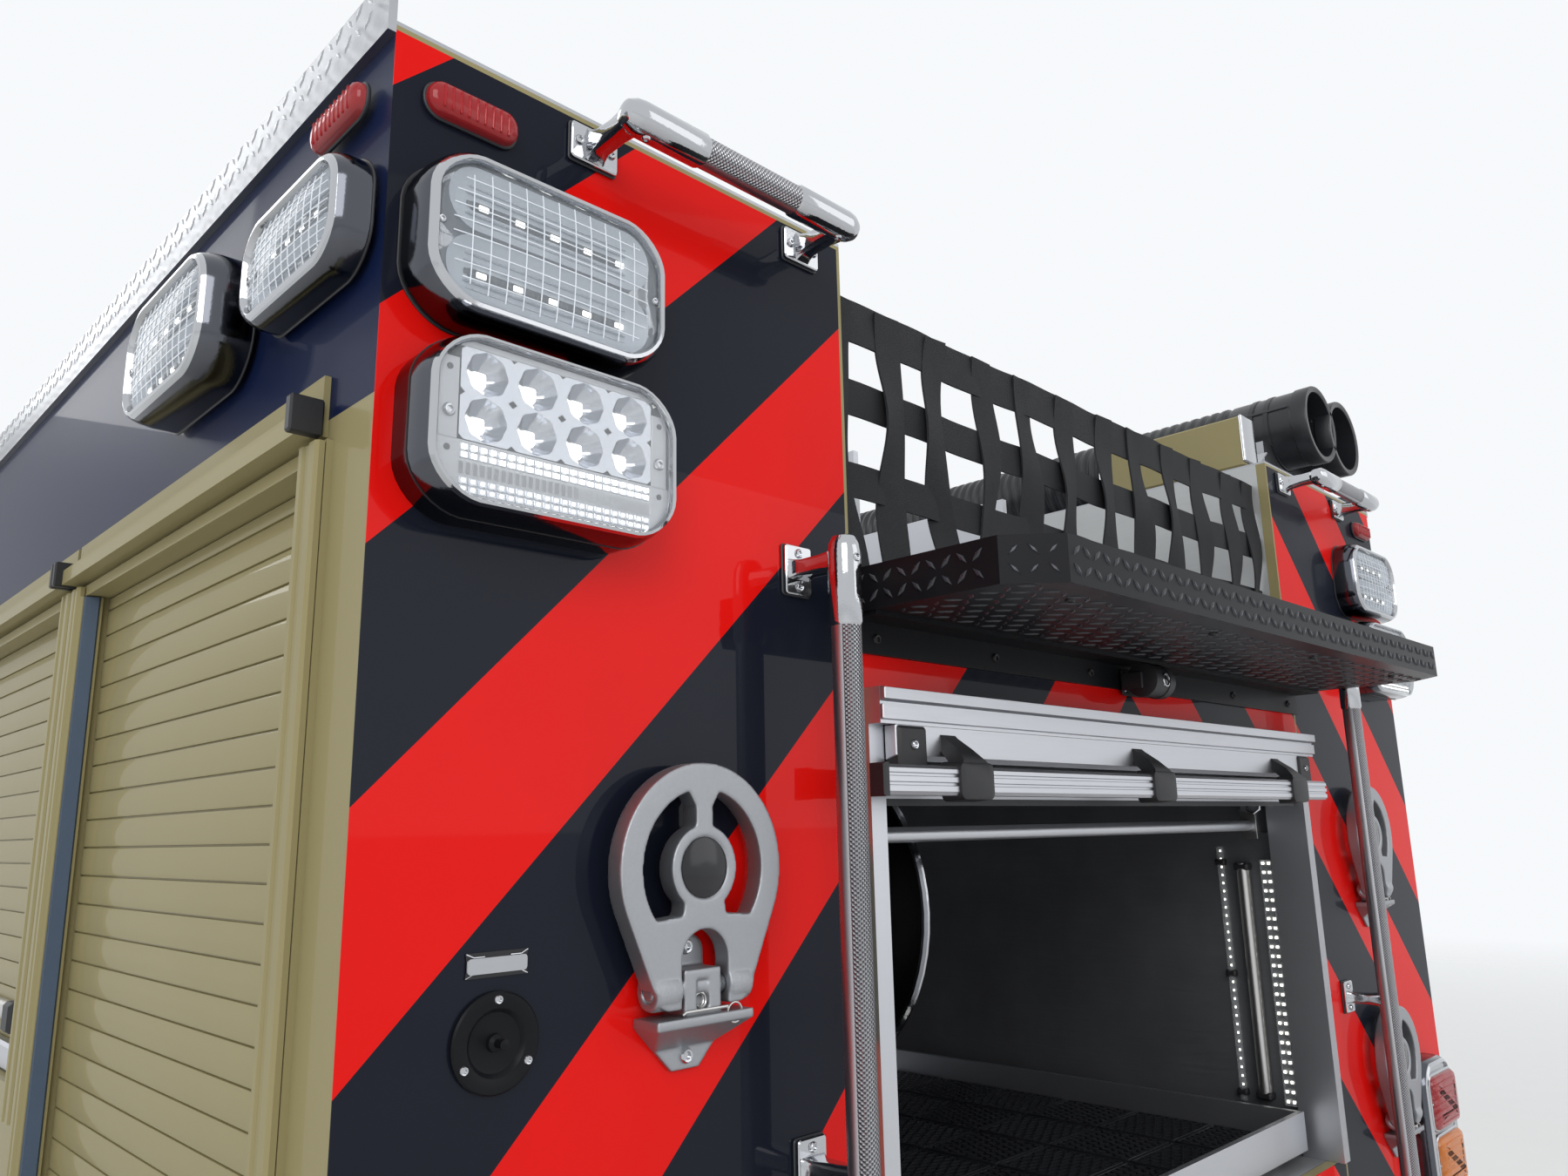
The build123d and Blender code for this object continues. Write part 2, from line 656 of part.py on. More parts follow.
# Pump ports: suction intake, discharges with caps, gauges and valve pulls on each panel
panel_x = module_x - panel_inset
port_y = (pump_front_y + pump_back_y) / 2
with BuildPart() as pump_ports:
    # across, up, radius, length
    ports = (
        (0, 860, 88, 62), (0, 860, 100, 26), (-170, 1120, 48, 75), (0, 1120, 48, 75), (170, 1120, 48, 75),
        (-150, 1640, 62, 18), (0, 1640, 62, 18), (150, 1640, 62, 18), (-75, 1500, 45, 16), (75, 1500, 45, 16),
    )
    for side in (1, -1):
        for across, up, radius, length in ports:
            rod((side * panel_x, port_y + across, up), (side * (panel_x + length), port_y + across, up), radius)
        for pull in range(6):
            pull_y = port_y - 175 + 70 * pull
            rod((side * panel_x, pull_y, 1330), (side * (panel_x + 50), pull_y, 1330), 11)
            rod((side * (panel_x + 34), pull_y - 24, 1330), (side * (panel_x + 34), pull_y + 24, 1330), 10)
save(pump_ports, "pump_ports")

# Side modules: three compartments a side behind roll-up doors
# front, back and bottom of each door opening, measured from the body's rear face
compartments = (
    (-847, -117, 640),
    (-2100, -938, 1278),
    (100 - body_length, -2190, 640),
)
door_head_z = 1905
trim_width = 40
trim_out = 6


def make_module(side):
    with BuildPart() as module:
        box(side * bay_x, side * module_x, body_front_y, rear_y, body_bottom, body_top)
        for front, back, sill in compartments:
            box(side * (bay_x + body_wall), side * (module_x - body_wall),
                rear_y + front - 25, rear_y + back + 25, sill - 30, body_top - body_wall, Mode.SUBTRACT)
            box(side * (module_x - 1), side * (module_x + trim_out), rear_y + front - trim_width,
                rear_y + back + trim_width, sill - trim_width, door_head_z + 14)
            box(side * (module_x - body_wall - 1), side * (module_x + trim_out + 1),
                rear_y + front, rear_y + back, sill, door_head_z, Mode.SUBTRACT)
        with BuildSketch(Plane.YZ.offset(side * bay_x)):
            with Locations((rear_axle_y, axle_z)):
                Circle(arch_radius)
            with Locations((rear_axle_y, axle_z / 2)):
                Rectangle(2 * arch_radius, axle_z)
        extrude(amount=side * (module_x - bay_x), mode=Mode.SUBTRACT)
    return module


save(make_module(1), "side_module_left")
save(make_module(-1), "side_module_right")

# Roll-up side doors: slatted curtains with a bottom bar, set back from the skin
slat_pitch = 34.7
slat_depth = 7
shutter_inset = 22
with BuildPart() as shutters:
    for side in (1, -1):
        for front, back, sill in compartments:
            face_x = module_x - shutter_inset
            slats = int((door_head_z - sill - 2 * running_gap) / slat_pitch)
            with BuildSketch(Plane.XZ.offset(-(rear_y + back - seat_gap))):
                with BuildLine():
                    points = [(side * (face_x - 12), sill + seat_gap), (side * face_x, sill + seat_gap)]
                    for slat in range(1, slats + 1):
                        groove_z = sill + slat * slat_pitch
                        points += [
                            (side * face_x, groove_z - 7),
                            (side * (face_x - slat_depth), groove_z - 3),
                            (side * face_x, groove_z),
                        ]
                    points += [(side * face_x, door_head_z - seat_gap), (side * (face_x - 12), door_head_z - seat_gap)]
                    Polyline(*points, close=True)
                make_face()
            extrude(amount=back - front - 2 * seat_gap)
            bar_x = side * (face_x + 8)
            rod((bar_x, rear_y + front + 90, sill + 75), (bar_x, rear_y + back - 90, sill + 75), 13)
save(shutters, "side_shutters")

# Hose bed floor and walls between the modules
bed_floor = 1830
bed_front_y = body_front_y + 60
with BuildPart() as hose_bed:
    box(-bay_x + seat_gap, bay_x - seat_gap, body_front_y, rear_y - rear_skin - seat_gap, bed_floor - 30, bed_floor)
    box(-bay_x + seat_gap, bay_x - seat_gap, body_front_y, bed_front_y, bed_floor, body_top)
    for divider_x in (-220, 220):
        box(divider_x - 6, divider_x + 6, bed_front_y, rear_y - 350, bed_floor, body_top - 80)
save(hose_bed, "hose_bed")

liner_back_y = rear_y - 1080
with BuildPart() as water_tank:
    box(-bay_x + 40, bay_x - 40, liner_back_y - 1300, liner_back_y - 40, body_floor, bed_floor - 30)
save(water_tank, "water_tank")

# Compartment liner: floor with the tray's runners, back wall and the reel's bracket on the left wall
tray_floor = 1012
tray_back_y = rear_y - 40
tray_front_y = tray_back_y - tray_length
runner_top = tray_floor - 8 - 12 - seat_gap
stand_x = reel_x + reel_width / 2 + running_gap + 12
with BuildPart() as liner:
    box(-bay_x + seat_gap, bay_x - seat_gap, liner_back_y - 20, rear_y - rear_skin - seat_gap, body_floor, opening_floor)
    box(-bay_x + seat_gap, bay_x - seat_gap, liner_back_y - 20, liner_back_y, opening_floor, bed_floor - 30)
    both_sides(420, 510, tray_front_y, tray_back_y - 30, opening_floor, runner_top)
    both_sides(500 + running_gap, 516, tray_front_y, tray_back_y - 30, opening_floor, tray_floor - 8 - running_gap)
    box(stand_x, bay_x - seat_gap, reel_y - 90, reel_y + 90, reel_z - 110, reel_z + 110)
    rod((reel_x + reel_width / 2 - 50, reel_y, reel_z), (stand_x, reel_y, reel_z), 22)
save(liner, "compartment_liner")

# Rear wall between the modules, with the opening of the compartment
header_height = 42
with BuildPart() as rear_panel:
    box(-bay_x + seat_gap, bay_x - seat_gap, rear_y - rear_skin, rear_y, tailboard_top, bed_floor)
    box(-opening_x - jamb_width, opening_x + jamb_width, rear_y - rear_skin - 1, rear_y + 1,
        opening_floor, opening_top, Mode.SUBTRACT)
save(rear_panel, "rear_panel")

# Rear shutter rolled up: its coil, the slats that hang below the header and the lift bar on its hooks
roll_radius = 60
roll_y = rear_y - 130
roll_z = opening_top - 2
lift_bar_z = 1630
lift_bar_right = opening_x - 30
lift_bar_left = opening_x + 68
with BuildPart() as rear_shutter:
    rod((-opening_x + 10, roll_y, roll_z), (opening_x - 10, roll_y, roll_z), roll_radius)
    with BuildSketch(Plane.YZ.offset(-opening_x + 12)):
        with BuildLine():
            Polyline(
                (roll_y + roll_radius - 14, roll_z),
                (rear_y - 12, lift_bar_z + 50),
                (rear_y - 12, lift_bar_z - 20),
                (rear_y + 4, lift_bar_z - 20),
                (rear_y + 4, lift_bar_z + 56),
                (roll_y + roll_radius - 2, roll_z),
                close=True,
            )
        make_face()
    extrude(amount=2 * (opening_x - 12))
    with BuildSketch(Plane.YZ.offset(-lift_bar_right)):
        with Locations((rear_y + 56, lift_bar_z)):
            RectangleRounded(22, 32, 4)
        with Locations((rear_y + 67, lift_bar_z + 5), (rear_y + 67, lift_bar_z - 5)):
            Rectangle(5, 4, mode=Mode.SUBTRACT)
    extrude(amount=lift_bar_left + lift_bar_right)
    # a saddle round the bar and a neck that curves up to the slats
    neck_half = 16
    neck_top = lift_bar_z + 60
    for hook_x in (-446, 47, 505):
        with BuildSketch(Plane.YZ.offset(hook_x - 2 * neck_half)):
            with Locations((rear_y + 37, lift_bar_z)):
                RectangleRounded(74, 44, 8)
        extrude(amount=4 * neck_half)
        with BuildSketch(Plane.YZ.offset(hook_x - neck_half)):
            with BuildLine():
                Polyline((rear_y + 62, lift_bar_z + 20), (rear_y, lift_bar_z + 20), (rear_y, neck_top),
                         (rear_y + 12, neck_top))
                ThreePointArc((rear_y + 12, neck_top), (rear_y + 24, lift_bar_z + 38),
                              (rear_y + 62, lift_bar_z + 20))
            make_face()
        extrude(amount=2 * neck_half)
save(rear_shutter, "rear_shutter")

# Shutter frame: jambs and header round the opening, brackets of the roll and the rod below it
jamb_outer = opening_x + jamb_width - seat_gap
with BuildPart() as shutter_frame:
    both_sides(opening_x, jamb_outer, rear_y - 60, rear_y + 12, opening_floor + seat_gap, opening_top - seat_gap)
    box(-jamb_outer, jamb_outer, rear_y - 6, rear_y + 30, opening_top - header_height, opening_top - seat_gap)
    both_sides(opening_x - 9.5, bay_x - seat_gap, roll_y - 60, roll_y + 60, roll_z - 60, roll_z + 50)
    both_sides(opening_x - 9.5, bay_x - seat_gap, rear_y - 105, rear_y - 75, 1555, roll_z - 60)
    rod((-opening_x + 9.5, rear_y - 90, 1570), (opening_x - 9.5, rear_y - 90, 1570), 10)
save(shutter_frame, "shutter_frame")

# Upper step of diamond plate over the rear opening
with BuildPart() as upper_step:
    with BuildSketch(Plane.XY.offset(step_top - step_lip)):
        with BuildLine():
            Polyline(
                (-step_x, rear_y),
                (-step_x, rear_y + step_depth - 52),
                (-step_x + 50, rear_y + step_depth),
                (step_x - 50, rear_y + step_depth),
                (step_x, rear_y + step_depth - 52),
                (step_x, rear_y),
                close=True,
            )
        make_face()
    extrude(amount=step_lip)
    with BuildSketch(Plane.YZ.offset(-step_x + 3)):
        with BuildLine():
            Polyline(
                (rear_y, step_top - step_lip),
                (rear_y + 46, step_top - step_lip),
                (rear_y + 46, step_top - step_lip - 5),
                (rear_y + 5, step_top - step_lip - 5),
                (rear_y + 5, step_top - step_lip - 42),
                (rear_y, step_top - step_lip - 42),
                close=True,
            )
        make_face()
    extrude(amount=2 * step_x - 6)
save(upper_step, "upper_step")

# Tailboard with two tow eyes
tow_eye_x = 430
tow_eye_radius = 26
with BuildPart() as tailboard:
    with BuildSketch(Plane.XY.offset(body_bottom)):
        with BuildLine():
            Polyline(
                (-module_x, rear_y),
                (-module_x, rear_y + tailboard_depth - 60),
                (-module_x + 60, rear_y + tailboard_depth),
                (module_x - 60, rear_y + tailboard_depth),
                (module_x, rear_y + tailboard_depth - 60),
                (module_x, rear_y),
                close=True,
            )
        make_face()
    extrude(amount=tailboard_top - body_bottom)
    both_sides(rail_x - rail_flange, rail_x, rear_y - 260, rear_y - rear_skin - seat_gap, body_bottom, rail_bottom - seat_gap)
    box(-rail_x - 30, rail_x + 30, rear_y - 70, rear_y, body_bottom, tailboard_top - seat_gap)
    for side in (1, -1):
        with BuildSketch(Plane.YZ.offset(side * tow_eye_x - 15)):
            with Locations((rear_y + tailboard_depth - 90, body_bottom - 30)):
                Circle(52)
                Rectangle(104, 60, align=(Align.CENTER, Align.MIN))
                Circle(tow_eye_radius, mode=Mode.SUBTRACT)
        extrude(amount=30)
save(tailboard, "tailboard")

# Grab rails: two upright and two across the top, each on two brackets
rail_tube = 16
rail_x_upright = bay_x + 92
top_rail_z = 2258
rail_y = rear_y + 75


# Rail between two points: a tube whose ends are rounded over
def rail(start, end):
    rod(start, end, rail_tube)
    with Locations(start, end):
        Sphere(rail_tube)


with BuildPart() as grab_rails:
    for side in (1, -1):
        rail((side * rail_x_upright, rail_y, 690), (side * rail_x_upright, rail_y, 1887))
        rail((side * (bay_x + 57), rail_y, top_rail_z), (side * (bay_x + 388), rail_y, top_rail_z))
        # across, up, width and height of the plate
        for bracket_x, bracket_z, plate_width, plate_height in (
            (rail_x_upright, 720, 44, 58), (rail_x_upright, 1250, 44, 58), (rail_x_upright, 1860, 44, 58),
            (bay_x + 74, top_rail_z, 56, 44), (bay_x + 372, top_rail_z, 56, 44),
        ):
            with BuildSketch(Plane.XZ.offset(-rear_y)):
                with Locations((side * bracket_x, bracket_z)):
                    RectangleRounded(plate_width, plate_height, 8)
            extrude(amount=-8)
            with BuildSketch(Plane.XZ.offset(-rear_y)):
                with Locations((side * bracket_x, bracket_z)):
                    RectangleRounded(34, 38, 10)
            extrude(amount=rear_y - rail_y, taper=5)
save(grab_rails, "grab_rails")

# Warning and scene lamps: rectangular lamps in bezels on every face of the body
lamp_width = 264
lamp_height = 165
bezel_corner = 40
bezel_width = 14
bezel_depth = 8
lens_gap = 3
with BuildPart() as lamps:
    for side in (1, -1):
        # place, outward direction, length, height, depth
        for place, outward, length, height, depth in (
            ((side * 1075, rear_y, 2093), (0, 1, 0), lamp_width, lamp_height, 48),
            ((side * 1072, rear_y, 1918), (0, 1, 0), lamp_width, lamp_height, 60),
            ((side * module_x, rear_y - 125, 2115), (side, 0, 0), 230, 120, 34),
            ((side * module_x, rear_y - 415, 2112), (side, 0, 0), 270, 150, 54),
            ((side * module_x, rear_y - 2700, 2112), (side, 0, 0), 270, 150, 54),
        ):
            face = Plane(origin=place, x_dir=(-outward[1], outward[0], 0), z_dir=outward)
            lens_length = length - 2 * bezel_width
            lens_height = height - 2 * bezel_width
            with BuildSketch(face):
                RectangleRounded(length, height, bezel_corner)
            extrude(amount=depth, taper=4)
            with BuildSketch(face.offset(depth)):
                RectangleRounded(lens_length, lens_height, bezel_corner - bezel_width)
            extrude(amount=-bezel_depth, mode=Mode.SUBTRACT)
            with BuildSketch(face.offset(depth - bezel_depth)):
                RectangleRounded(lens_length - 2 * lens_gap, lens_height - 2 * lens_gap,
                                 bezel_corner - bezel_width - lens_gap)
            extrude(amount=bezel_depth - lens_gap, taper=10)
        # small marker lamps high on the corners
        with BuildSketch(Plane.XZ.offset(-rear_y)):
            with Locations((side * 1145, 2232)):
                RectangleRounded(96, 38, 15)
        extrude(amount=-15, taper=10)
        for along in (-85, -2900):
            with BuildSketch(Plane.YZ.offset(side * module_x)):
                with Locations((rear_y + along, 2232)):
                    RectangleRounded(110, 38, 15)
            extrude(amount=side * 15, taper=10)
save(lamps, "body_lamps")

# Tail lamp stacks: brake, turn and reversing lamps in one bright bezel each side
with BuildPart() as tail_lamps:
    for side in (1, -1):
        with BuildSketch(Plane.XZ.offset(-rear_y)):
            with Locations((side * 1072, 905)):
                RectangleRounded(170, 390, 40)
        extrude(amount=-40, taper=6)
        for lamp_z in (1018, 905, 792):
            with BuildSketch(Plane.XZ.offset(-(rear_y + 40))):
                with Locations((side * 1072, lamp_z)):
                    RectangleRounded(140, 100, 16)
            extrude(amount=-12, taper=12)
save(tail_lamps, "tail_lamps")

# Webbing net over the end of the hose bed
strap_width = 50
with BuildPart() as net:
    with BuildSketch(Plane.XZ.offset(-(rear_y - 30))):
        with Locations((0, (2248 + bed_floor + 2) / 2)):
            with GridLocations((bay_width - strap_width - 2) / 11, 0, 12, 1):
                Rectangle(strap_width, 2248 - bed_floor - 2)
        for strap_z in (2222, 2060, 1940):
            with Locations((0, strap_z)):
                Rectangle(bay_width - 1, strap_width)
    extrude(amount=8)
save(net, "hose_net")

# Hard suction hoses lying on the right module, ribbed with plain cuffs
suction_radius = 90
suction_bore = 76
suction_length = 2440
suction_z = 2458
suction_xs = (-984, -1128)
rib_pitch = 52
cuff_length = 230
with BuildPart() as suctions:
    for hose_x in suction_xs:
        with BuildSketch(Plane(origin=(hose_x, rear_y + 3, suction_z), x_dir=(1, 0, 0), z_dir=(0, 0, -1))):
            with BuildLine():
                points = [(suction_bore, 0), (suction_radius, 0), (suction_radius, cuff_length)]
                for rib in range(int((suction_length - 2 * cuff_length) / rib_pitch)):
                    start = cuff_length + rib * rib_pitch
                    points += [
                        (suction_radius - 8, start + rib_pitch / 3),
                        (suction_radius, start + rib_pitch * 2 / 3),
                        (suction_radius, start + rib_pitch),
                    ]
                points += [(suction_radius, suction_length), (suction_bore, suction_length)]
                Polyline(*points, close=True)
            make_face()
        revolve(axis=Axis((hose_x, 0, suction_z), (0, 1, 0)))
save(suctions, "hard_suctions")

# Roof plates with an upstand along each side, the hose cradles and the drip rails over the doors
roof_plate = 4
trim_height = 62
cradle_ys = (rear_y - 120, rear_y - 1250, rear_y - 2300)
with BuildPart() as roof_trim:
    for side in (1, -1):
        box(side * bay_x, side * (module_x + 8), body_front_y, rear_y, body_top, body_top + roof_plate)
        box(side * module_x, side * (module_x + 8), body_front_y, rear_y, body_top - 8, body_top + trim_height - 8)
        for front, back, sill in compartments:
            box(side * module_x, side * (module_x + 26), rear_y + front - 50, rear_y + back + 26, 1925, 1932)
            box(side * module_x, side * (module_x + 6), rear_y + front - 50, rear_y + back + 26, 1925, 1982)
            box(side * (module_x + 20), side * (module_x + 26), rear_y + front - 50, rear_y + back + 26, 1925, 1945)
    for cradle_y in cradle_ys:
        box(min(suction_xs) - suction_radius + 6, max(suction_xs) + suction_radius + 30, cradle_y - 35, cradle_y + 35,
            body_top + roof_plate, suction_z - 45)
        for hose_x in suction_xs:
            rod((hose_x, cradle_y - 60, suction_z), (hose_x, cradle_y + 60, suction_z), suction_radius + seat_gap,
                Mode.SUBTRACT)
save(roof_trim, "roof_trim")

# Folding steps: a cast foot whose lug holds a pin, and a ring-shaped casting that turns down about the pin
step_pivot_out = 22
pin_radius = 8
ring_radius = 97
ring_width = 25
ring_centre = 106
boss_radius = 39
cup_radius = 29
arm_inner = 28
arm_outer = 57
arm_radius = 17
casting_front = 14
casting_depth = 22
lug_half = 22
shelf_top = -24
folding_steps = (
    ("upper_left", 893, 1440),
    ("upper_right", -893, 1440),
    ("lower_left", 893, 1014),
    ("lower_right", -893, 1014),
)
step_pivot_y = rear_y + step_pivot_out


# Plane facing rearwards with its origin on the step's pin
def step_face(across, up, depth):
    return Plane(origin=(across, rear_y + depth, up), x_dir=(-1, 0, 0), z_dir=(0, 1, 0))


with BuildPart() as step_feet:
    for name, across, up in folding_steps:
        with BuildSketch(step_face(across, up, 0)):
            with Locations((0, 12)):
                RectangleRounded(2 * lug_half, 66, 16)
        extrude(amount=6)
        with BuildSketch(step_face(across, up, 0)):
            with Locations((0, -4)):
                Rectangle(2 * lug_half, 40)
        extrude(amount=step_pivot_out + 10)
        with BuildSketch(step_face(across, up, 0)):
            with BuildLine():
                Polyline(
                    (-arm_outer, shelf_top),
                    (arm_outer, shelf_top),
                    (arm_outer, shelf_top - 8),
                    (16, shelf_top - 50),
                    (-16, shelf_top - 50),
                    (-arm_outer, shelf_top - 8),
                    close=True,
                )
            make_face()
        extrude(amount=38)
        with BuildSketch(Plane.YZ.offset(across - arm_outer - 1)):
            with BuildLine():
                Polyline(
                    (rear_y + 39, up + shelf_top - 7),
                    (rear_y + 6, up + shelf_top - 30),
                    (rear_y + 6, up + shelf_top - 60),
                    (rear_y + 39, up + shelf_top - 60),
                    close=True,
                )
            make_face()
        extrude(amount=2 * arm_outer + 2, mode=Mode.SUBTRACT)
        with BuildSketch(step_face(across, up, step_pivot_out + 10)):
            with Locations((0, -6)):
                Rectangle(15, 26)
        extrude(amount=-9, mode=Mode.SUBTRACT)
        rod((across - arm_outer, step_pivot_y, up), (across + arm_outer, step_pivot_y, up), pin_radius)
save(step_feet, "step_feet")


def make_step(across, up):
    with BuildPart() as step:
        with BuildSketch(step_face(across, up, step_pivot_out + casting_front)) as outline:
            with Locations((0, ring_centre)):
                Circle(ring_radius)
            with Locations((-arm_outer + arm_radius, 0), (arm_outer - arm_radius, 0)):
                Circle(arm_radius)
            make_hull(outline.edges())
            with Locations((0, ring_centre)):
                Circle(ring_radius - ring_width, mode=Mode.SUBTRACT)
                Circle(boss_radius)
            with BuildLine():
                Polyline((-62, 30), (62, 30), (72, 60), (26, 64), (22, 84), (-22, 84), (-26, 64), (-72, 60), close=True)
            make_face()
            with BuildLine():
                Polyline((-10, 140), (10, 140), (10, 162), (24, 184), (-24, 184), (-10, 162), close=True)
            make_face()
            with Locations((0, arm_inner - 5)):
                Circle(arm_inner, mode=Mode.SUBTRACT)
            with Locations((0, -20)):
                Rectangle(2 * arm_inner, 86, mode=Mode.SUBTRACT)
        extrude(amount=-casting_depth)
        for side in (1, -1):
            rod((across + side * arm_inner, step_pivot_y, up), (across + side * arm_outer, step_pivot_y, up), arm_radius)
        rod((across - arm_outer - 1, step_pivot_y, up), (across + arm_outer + 1, step_pivot_y, up),
            pin_radius + bearing_gap, Mode.SUBTRACT)
        with BuildSketch(step_face(across, up, step_pivot_out + casting_front)):
            with Locations((0, ring_centre)):
                Circle(cup_radius)
        extrude(amount=-3, mode=Mode.SUBTRACT)
    return step


for name, across, up in folding_steps:
    save(make_step(across, up), f"folding_step_{name}")

# Rear fittings: switch cup with a blank plate, camera under the upper step, light strips behind the jambs
switch_x = 1089
# distance behind the rear face, radius, bottom and top of each tube on the compartment's side walls
side_tubes = ((84, 12.4, 1059, 1506), (126, 12.4, 1075, 1500), (172, 7, 1059, 1530))
switch_z = 1415
with BuildPart() as rear_fittings:
    with Locations(Plane(origin=(switch_x, rear_y, switch_z), z_dir=(0, 1, 0))):
        Cylinder(40, 18, align=(Align.CENTER, Align.CENTER, Align.MIN))
        Cylinder(28, 18, align=(Align.CENTER, Align.CENTER, Align.MIN), mode=Mode.SUBTRACT)
        Cylinder(12, 14, align=(Align.CENTER, Align.CENTER, Align.MIN))
        Cylinder(28, 3, align=(Align.CENTER, Align.CENTER, Align.MIN))
    box(switch_x - 29, switch_x + 29, rear_y, rear_y + 3, switch_z + 51, switch_z + 71)
    camera_x = 4
    camera_z = step_top - step_lip - 5 - seat_gap - 26
    rod((camera_x - 30, rear_y + 40, camera_z), (camera_x + 30, rear_y + 40, camera_z), 26)
    box(camera_x - 28, camera_x + 28, rear_y + 5 + seat_gap, rear_y + 42, camera_z - 16, camera_z + 16)
    for side in (1, -1):
        for back, radius, bottom, top in side_tubes:
            tube_x = side * (bay_x - seat_gap - radius)
            rod((tube_x, rear_y - back, bottom), (tube_x, rear_y - back, top), radius)
save(rear_fittings, "rear_fittings")

# Slide-out tray: a shallow pan with a tile mat on two runners
with BuildPart() as tray:
    box(-tray_x, tray_x, tray_front_y, tray_back_y, tray_floor - 8, tray_top)
    box(-tray_x + 10, tray_x - 10, tray_front_y + 10, tray_back_y - 10, tray_floor, tray_top + 1, Mode.SUBTRACT)
    both_sides(430, 500, tray_front_y + 20, tray_back_y - 20, tray_floor - 8 - 12, tray_floor - 8)
save(tray, "tray")

with BuildPart() as tray_mat:
    box(-tray_x + 12, tray_x - 12, tray_front_y + 12, tray_back_y - 12, tray_floor, tray_floor + 14)
save(tray_mat, "tray_mat")

# Electric reel: two bright discs on a drum, turning on the stub of its bracket
with BuildPart() as reel:
    disc_half = reel_width / 2
    with BuildSketch(Plane(origin=(reel_x, reel_y, reel_z), x_dir=(1, 0, 0), z_dir=(0, -1, 0))):
        with BuildLine():
            for hand in (1, -1):
                Polyline(
                    (0, 120),
                    (hand * (disc_half - 14), 120),
                    (hand * (disc_half - 8), reel_radius - 10),
                    (hand * (disc_half - 8), reel_radius),
                    (hand * disc_half, reel_radius),
                    (hand * disc_half, reel_radius - 10),
                    (hand * (disc_half - 8), 60),
                    (hand * (disc_half - 1), 56),
                    (hand * (disc_half - 1), 0),
                )
            Line((disc_half - 1, 0), (1 - disc_half, 0))
        make_face()
    revolve(axis=Axis((0, reel_y, reel_z), (1, 0, 0)))
    rod((reel_x - disc_half - 60, reel_y, reel_z), (reel_x - disc_half + 6, reel_y, reel_z), 26)
    rod((reel_x + reel_width / 2 - 60, reel_y, reel_z), (reel_x + reel_width / 2 + 1, reel_y, reel_z),
        22 + bearing_gap, Mode.SUBTRACT)
save(reel, "reel")

# Steering knuckles with their stub axles
def make_knuckle(side):
    with BuildPart() as knuckle:
        with Locations((side * kingpin_x, front_axle_y, axle_z)):
            Cylinder(knuckle_radius, knuckle_height - 2 * seat_gap)
        rod((side * (kingpin_x + 30), front_axle_y, axle_z), (side * (front_hub_face - 20), front_axle_y, axle_z),
            spindle_radius)
        with Locations((side * kingpin_x, front_axle_y, axle_z)):
            Cylinder(kingpin_radius + bearing_gap, knuckle_height, mode=Mode.SUBTRACT)
    return knuckle


for side, hand in ((1, "left"), (-1, "right")):
    save(make_knuckle(side), f"knuckle_{hand}")


# Wheels: a pressed disc rim and a tyre, revolved about the axle line
def make_tyre(centre_y, centres):
    with BuildPart() as tyre:
        half = tyre_width / 2
        bead = rim_width / 2 - 12 - bearing_gap
        with BuildSketch(wheel_plane(centre_y)):
            for centre in centres:
                with BuildLine():
                    for hand in (1, -1):
                        Polyline(
                            (centre, rim_radius),
                            (centre + hand * bead, rim_radius),
                            (centre + hand * bead, rim_lip + 1),
                        )
                        ThreePointArc(
                            (centre + hand * bead, rim_lip + 1),
                            (centre + hand * half, tyre_radius - 68),
                            (centre + hand * (half - 13), tyre_radius - 22),
                        )
                        Polyline(
                            (centre + hand * (half - 13), tyre_radius - 22),
                            (centre + hand * (half - 20), tyre_radius - 5),
                            (centre + hand * (half - 32), tyre_radius),
                            (centre, tyre_radius),
                        )
                make_face()
        revolve(axis=Axis((0, centre_y, axle_z), (1, 0, 0)))
    return tyre


def copysign_length(length, reference):
    return length if reference > 0 else -length


hand_hole_radius = 24
hand_hole_circle = 186
hand_holes = 8


def make_rim(centre_y, discs, hub_inner, hub_outer, bore_end):
    # each disc: barrel centre, face of the disc on the hub, and side that the disc leans to
    with BuildPart() as rim:
        with BuildSketch(wheel_plane(centre_y)):
            for centre, face, lean in discs:
                edge = centre + lean * (rim_width / 2 - 40)
                with BuildLine():
                    Polyline(
                        (centre - rim_width / 2, rim_lip),
                        (centre - rim_width / 2, rim_radius - 10),
                        (centre + rim_width / 2, rim_radius - 10),
                        (centre + rim_width / 2, rim_lip),
                        (centre + rim_width / 2 - 10, rim_lip),
                        (centre + rim_width / 2 - 12, rim_radius - seat_gap),
                        (centre - rim_width / 2 + 12, rim_radius - seat_gap),
                        (centre - rim_width / 2 + 10, rim_lip),
                        close=True,
                    )
                make_face()
                with BuildLine():
                    Polyline(
                        (edge, rim_radius - 5),
                        (edge - lean * 14, rim_radius - 5),
                        (face - lean * 10, 150),
                        (face - lean * 10, hub_radius - 20),
                        (face, hub_radius - 20),
                        (face, 152),
                        close=True,
                    )
                make_face()
            with BuildLine():
                Polyline(
                    (hub_inner, spindle_radius + bearing_gap),
                    (hub_inner, hub_radius),
                    (hub_outer - copysign_length(30, hub_outer), hub_radius),
                    (hub_outer, hub_radius - 26),
                    (hub_outer, 0),
                    (bore_end, 0),
                    (bore_end, spindle_radius + bearing_gap),
                    close=True,
                )
            make_face()
        revolve(axis=Axis((0, centre_y, axle_z), (1, 0, 0)))
        with Locations(Plane(origin=(discs[0][1], centre_y, axle_z), z_dir=(1, 0, 0))):
            with PolarLocations(hand_hole_circle, hand_holes):
                Cylinder(hand_hole_radius, 400, mode=Mode.SUBTRACT)
    return rim


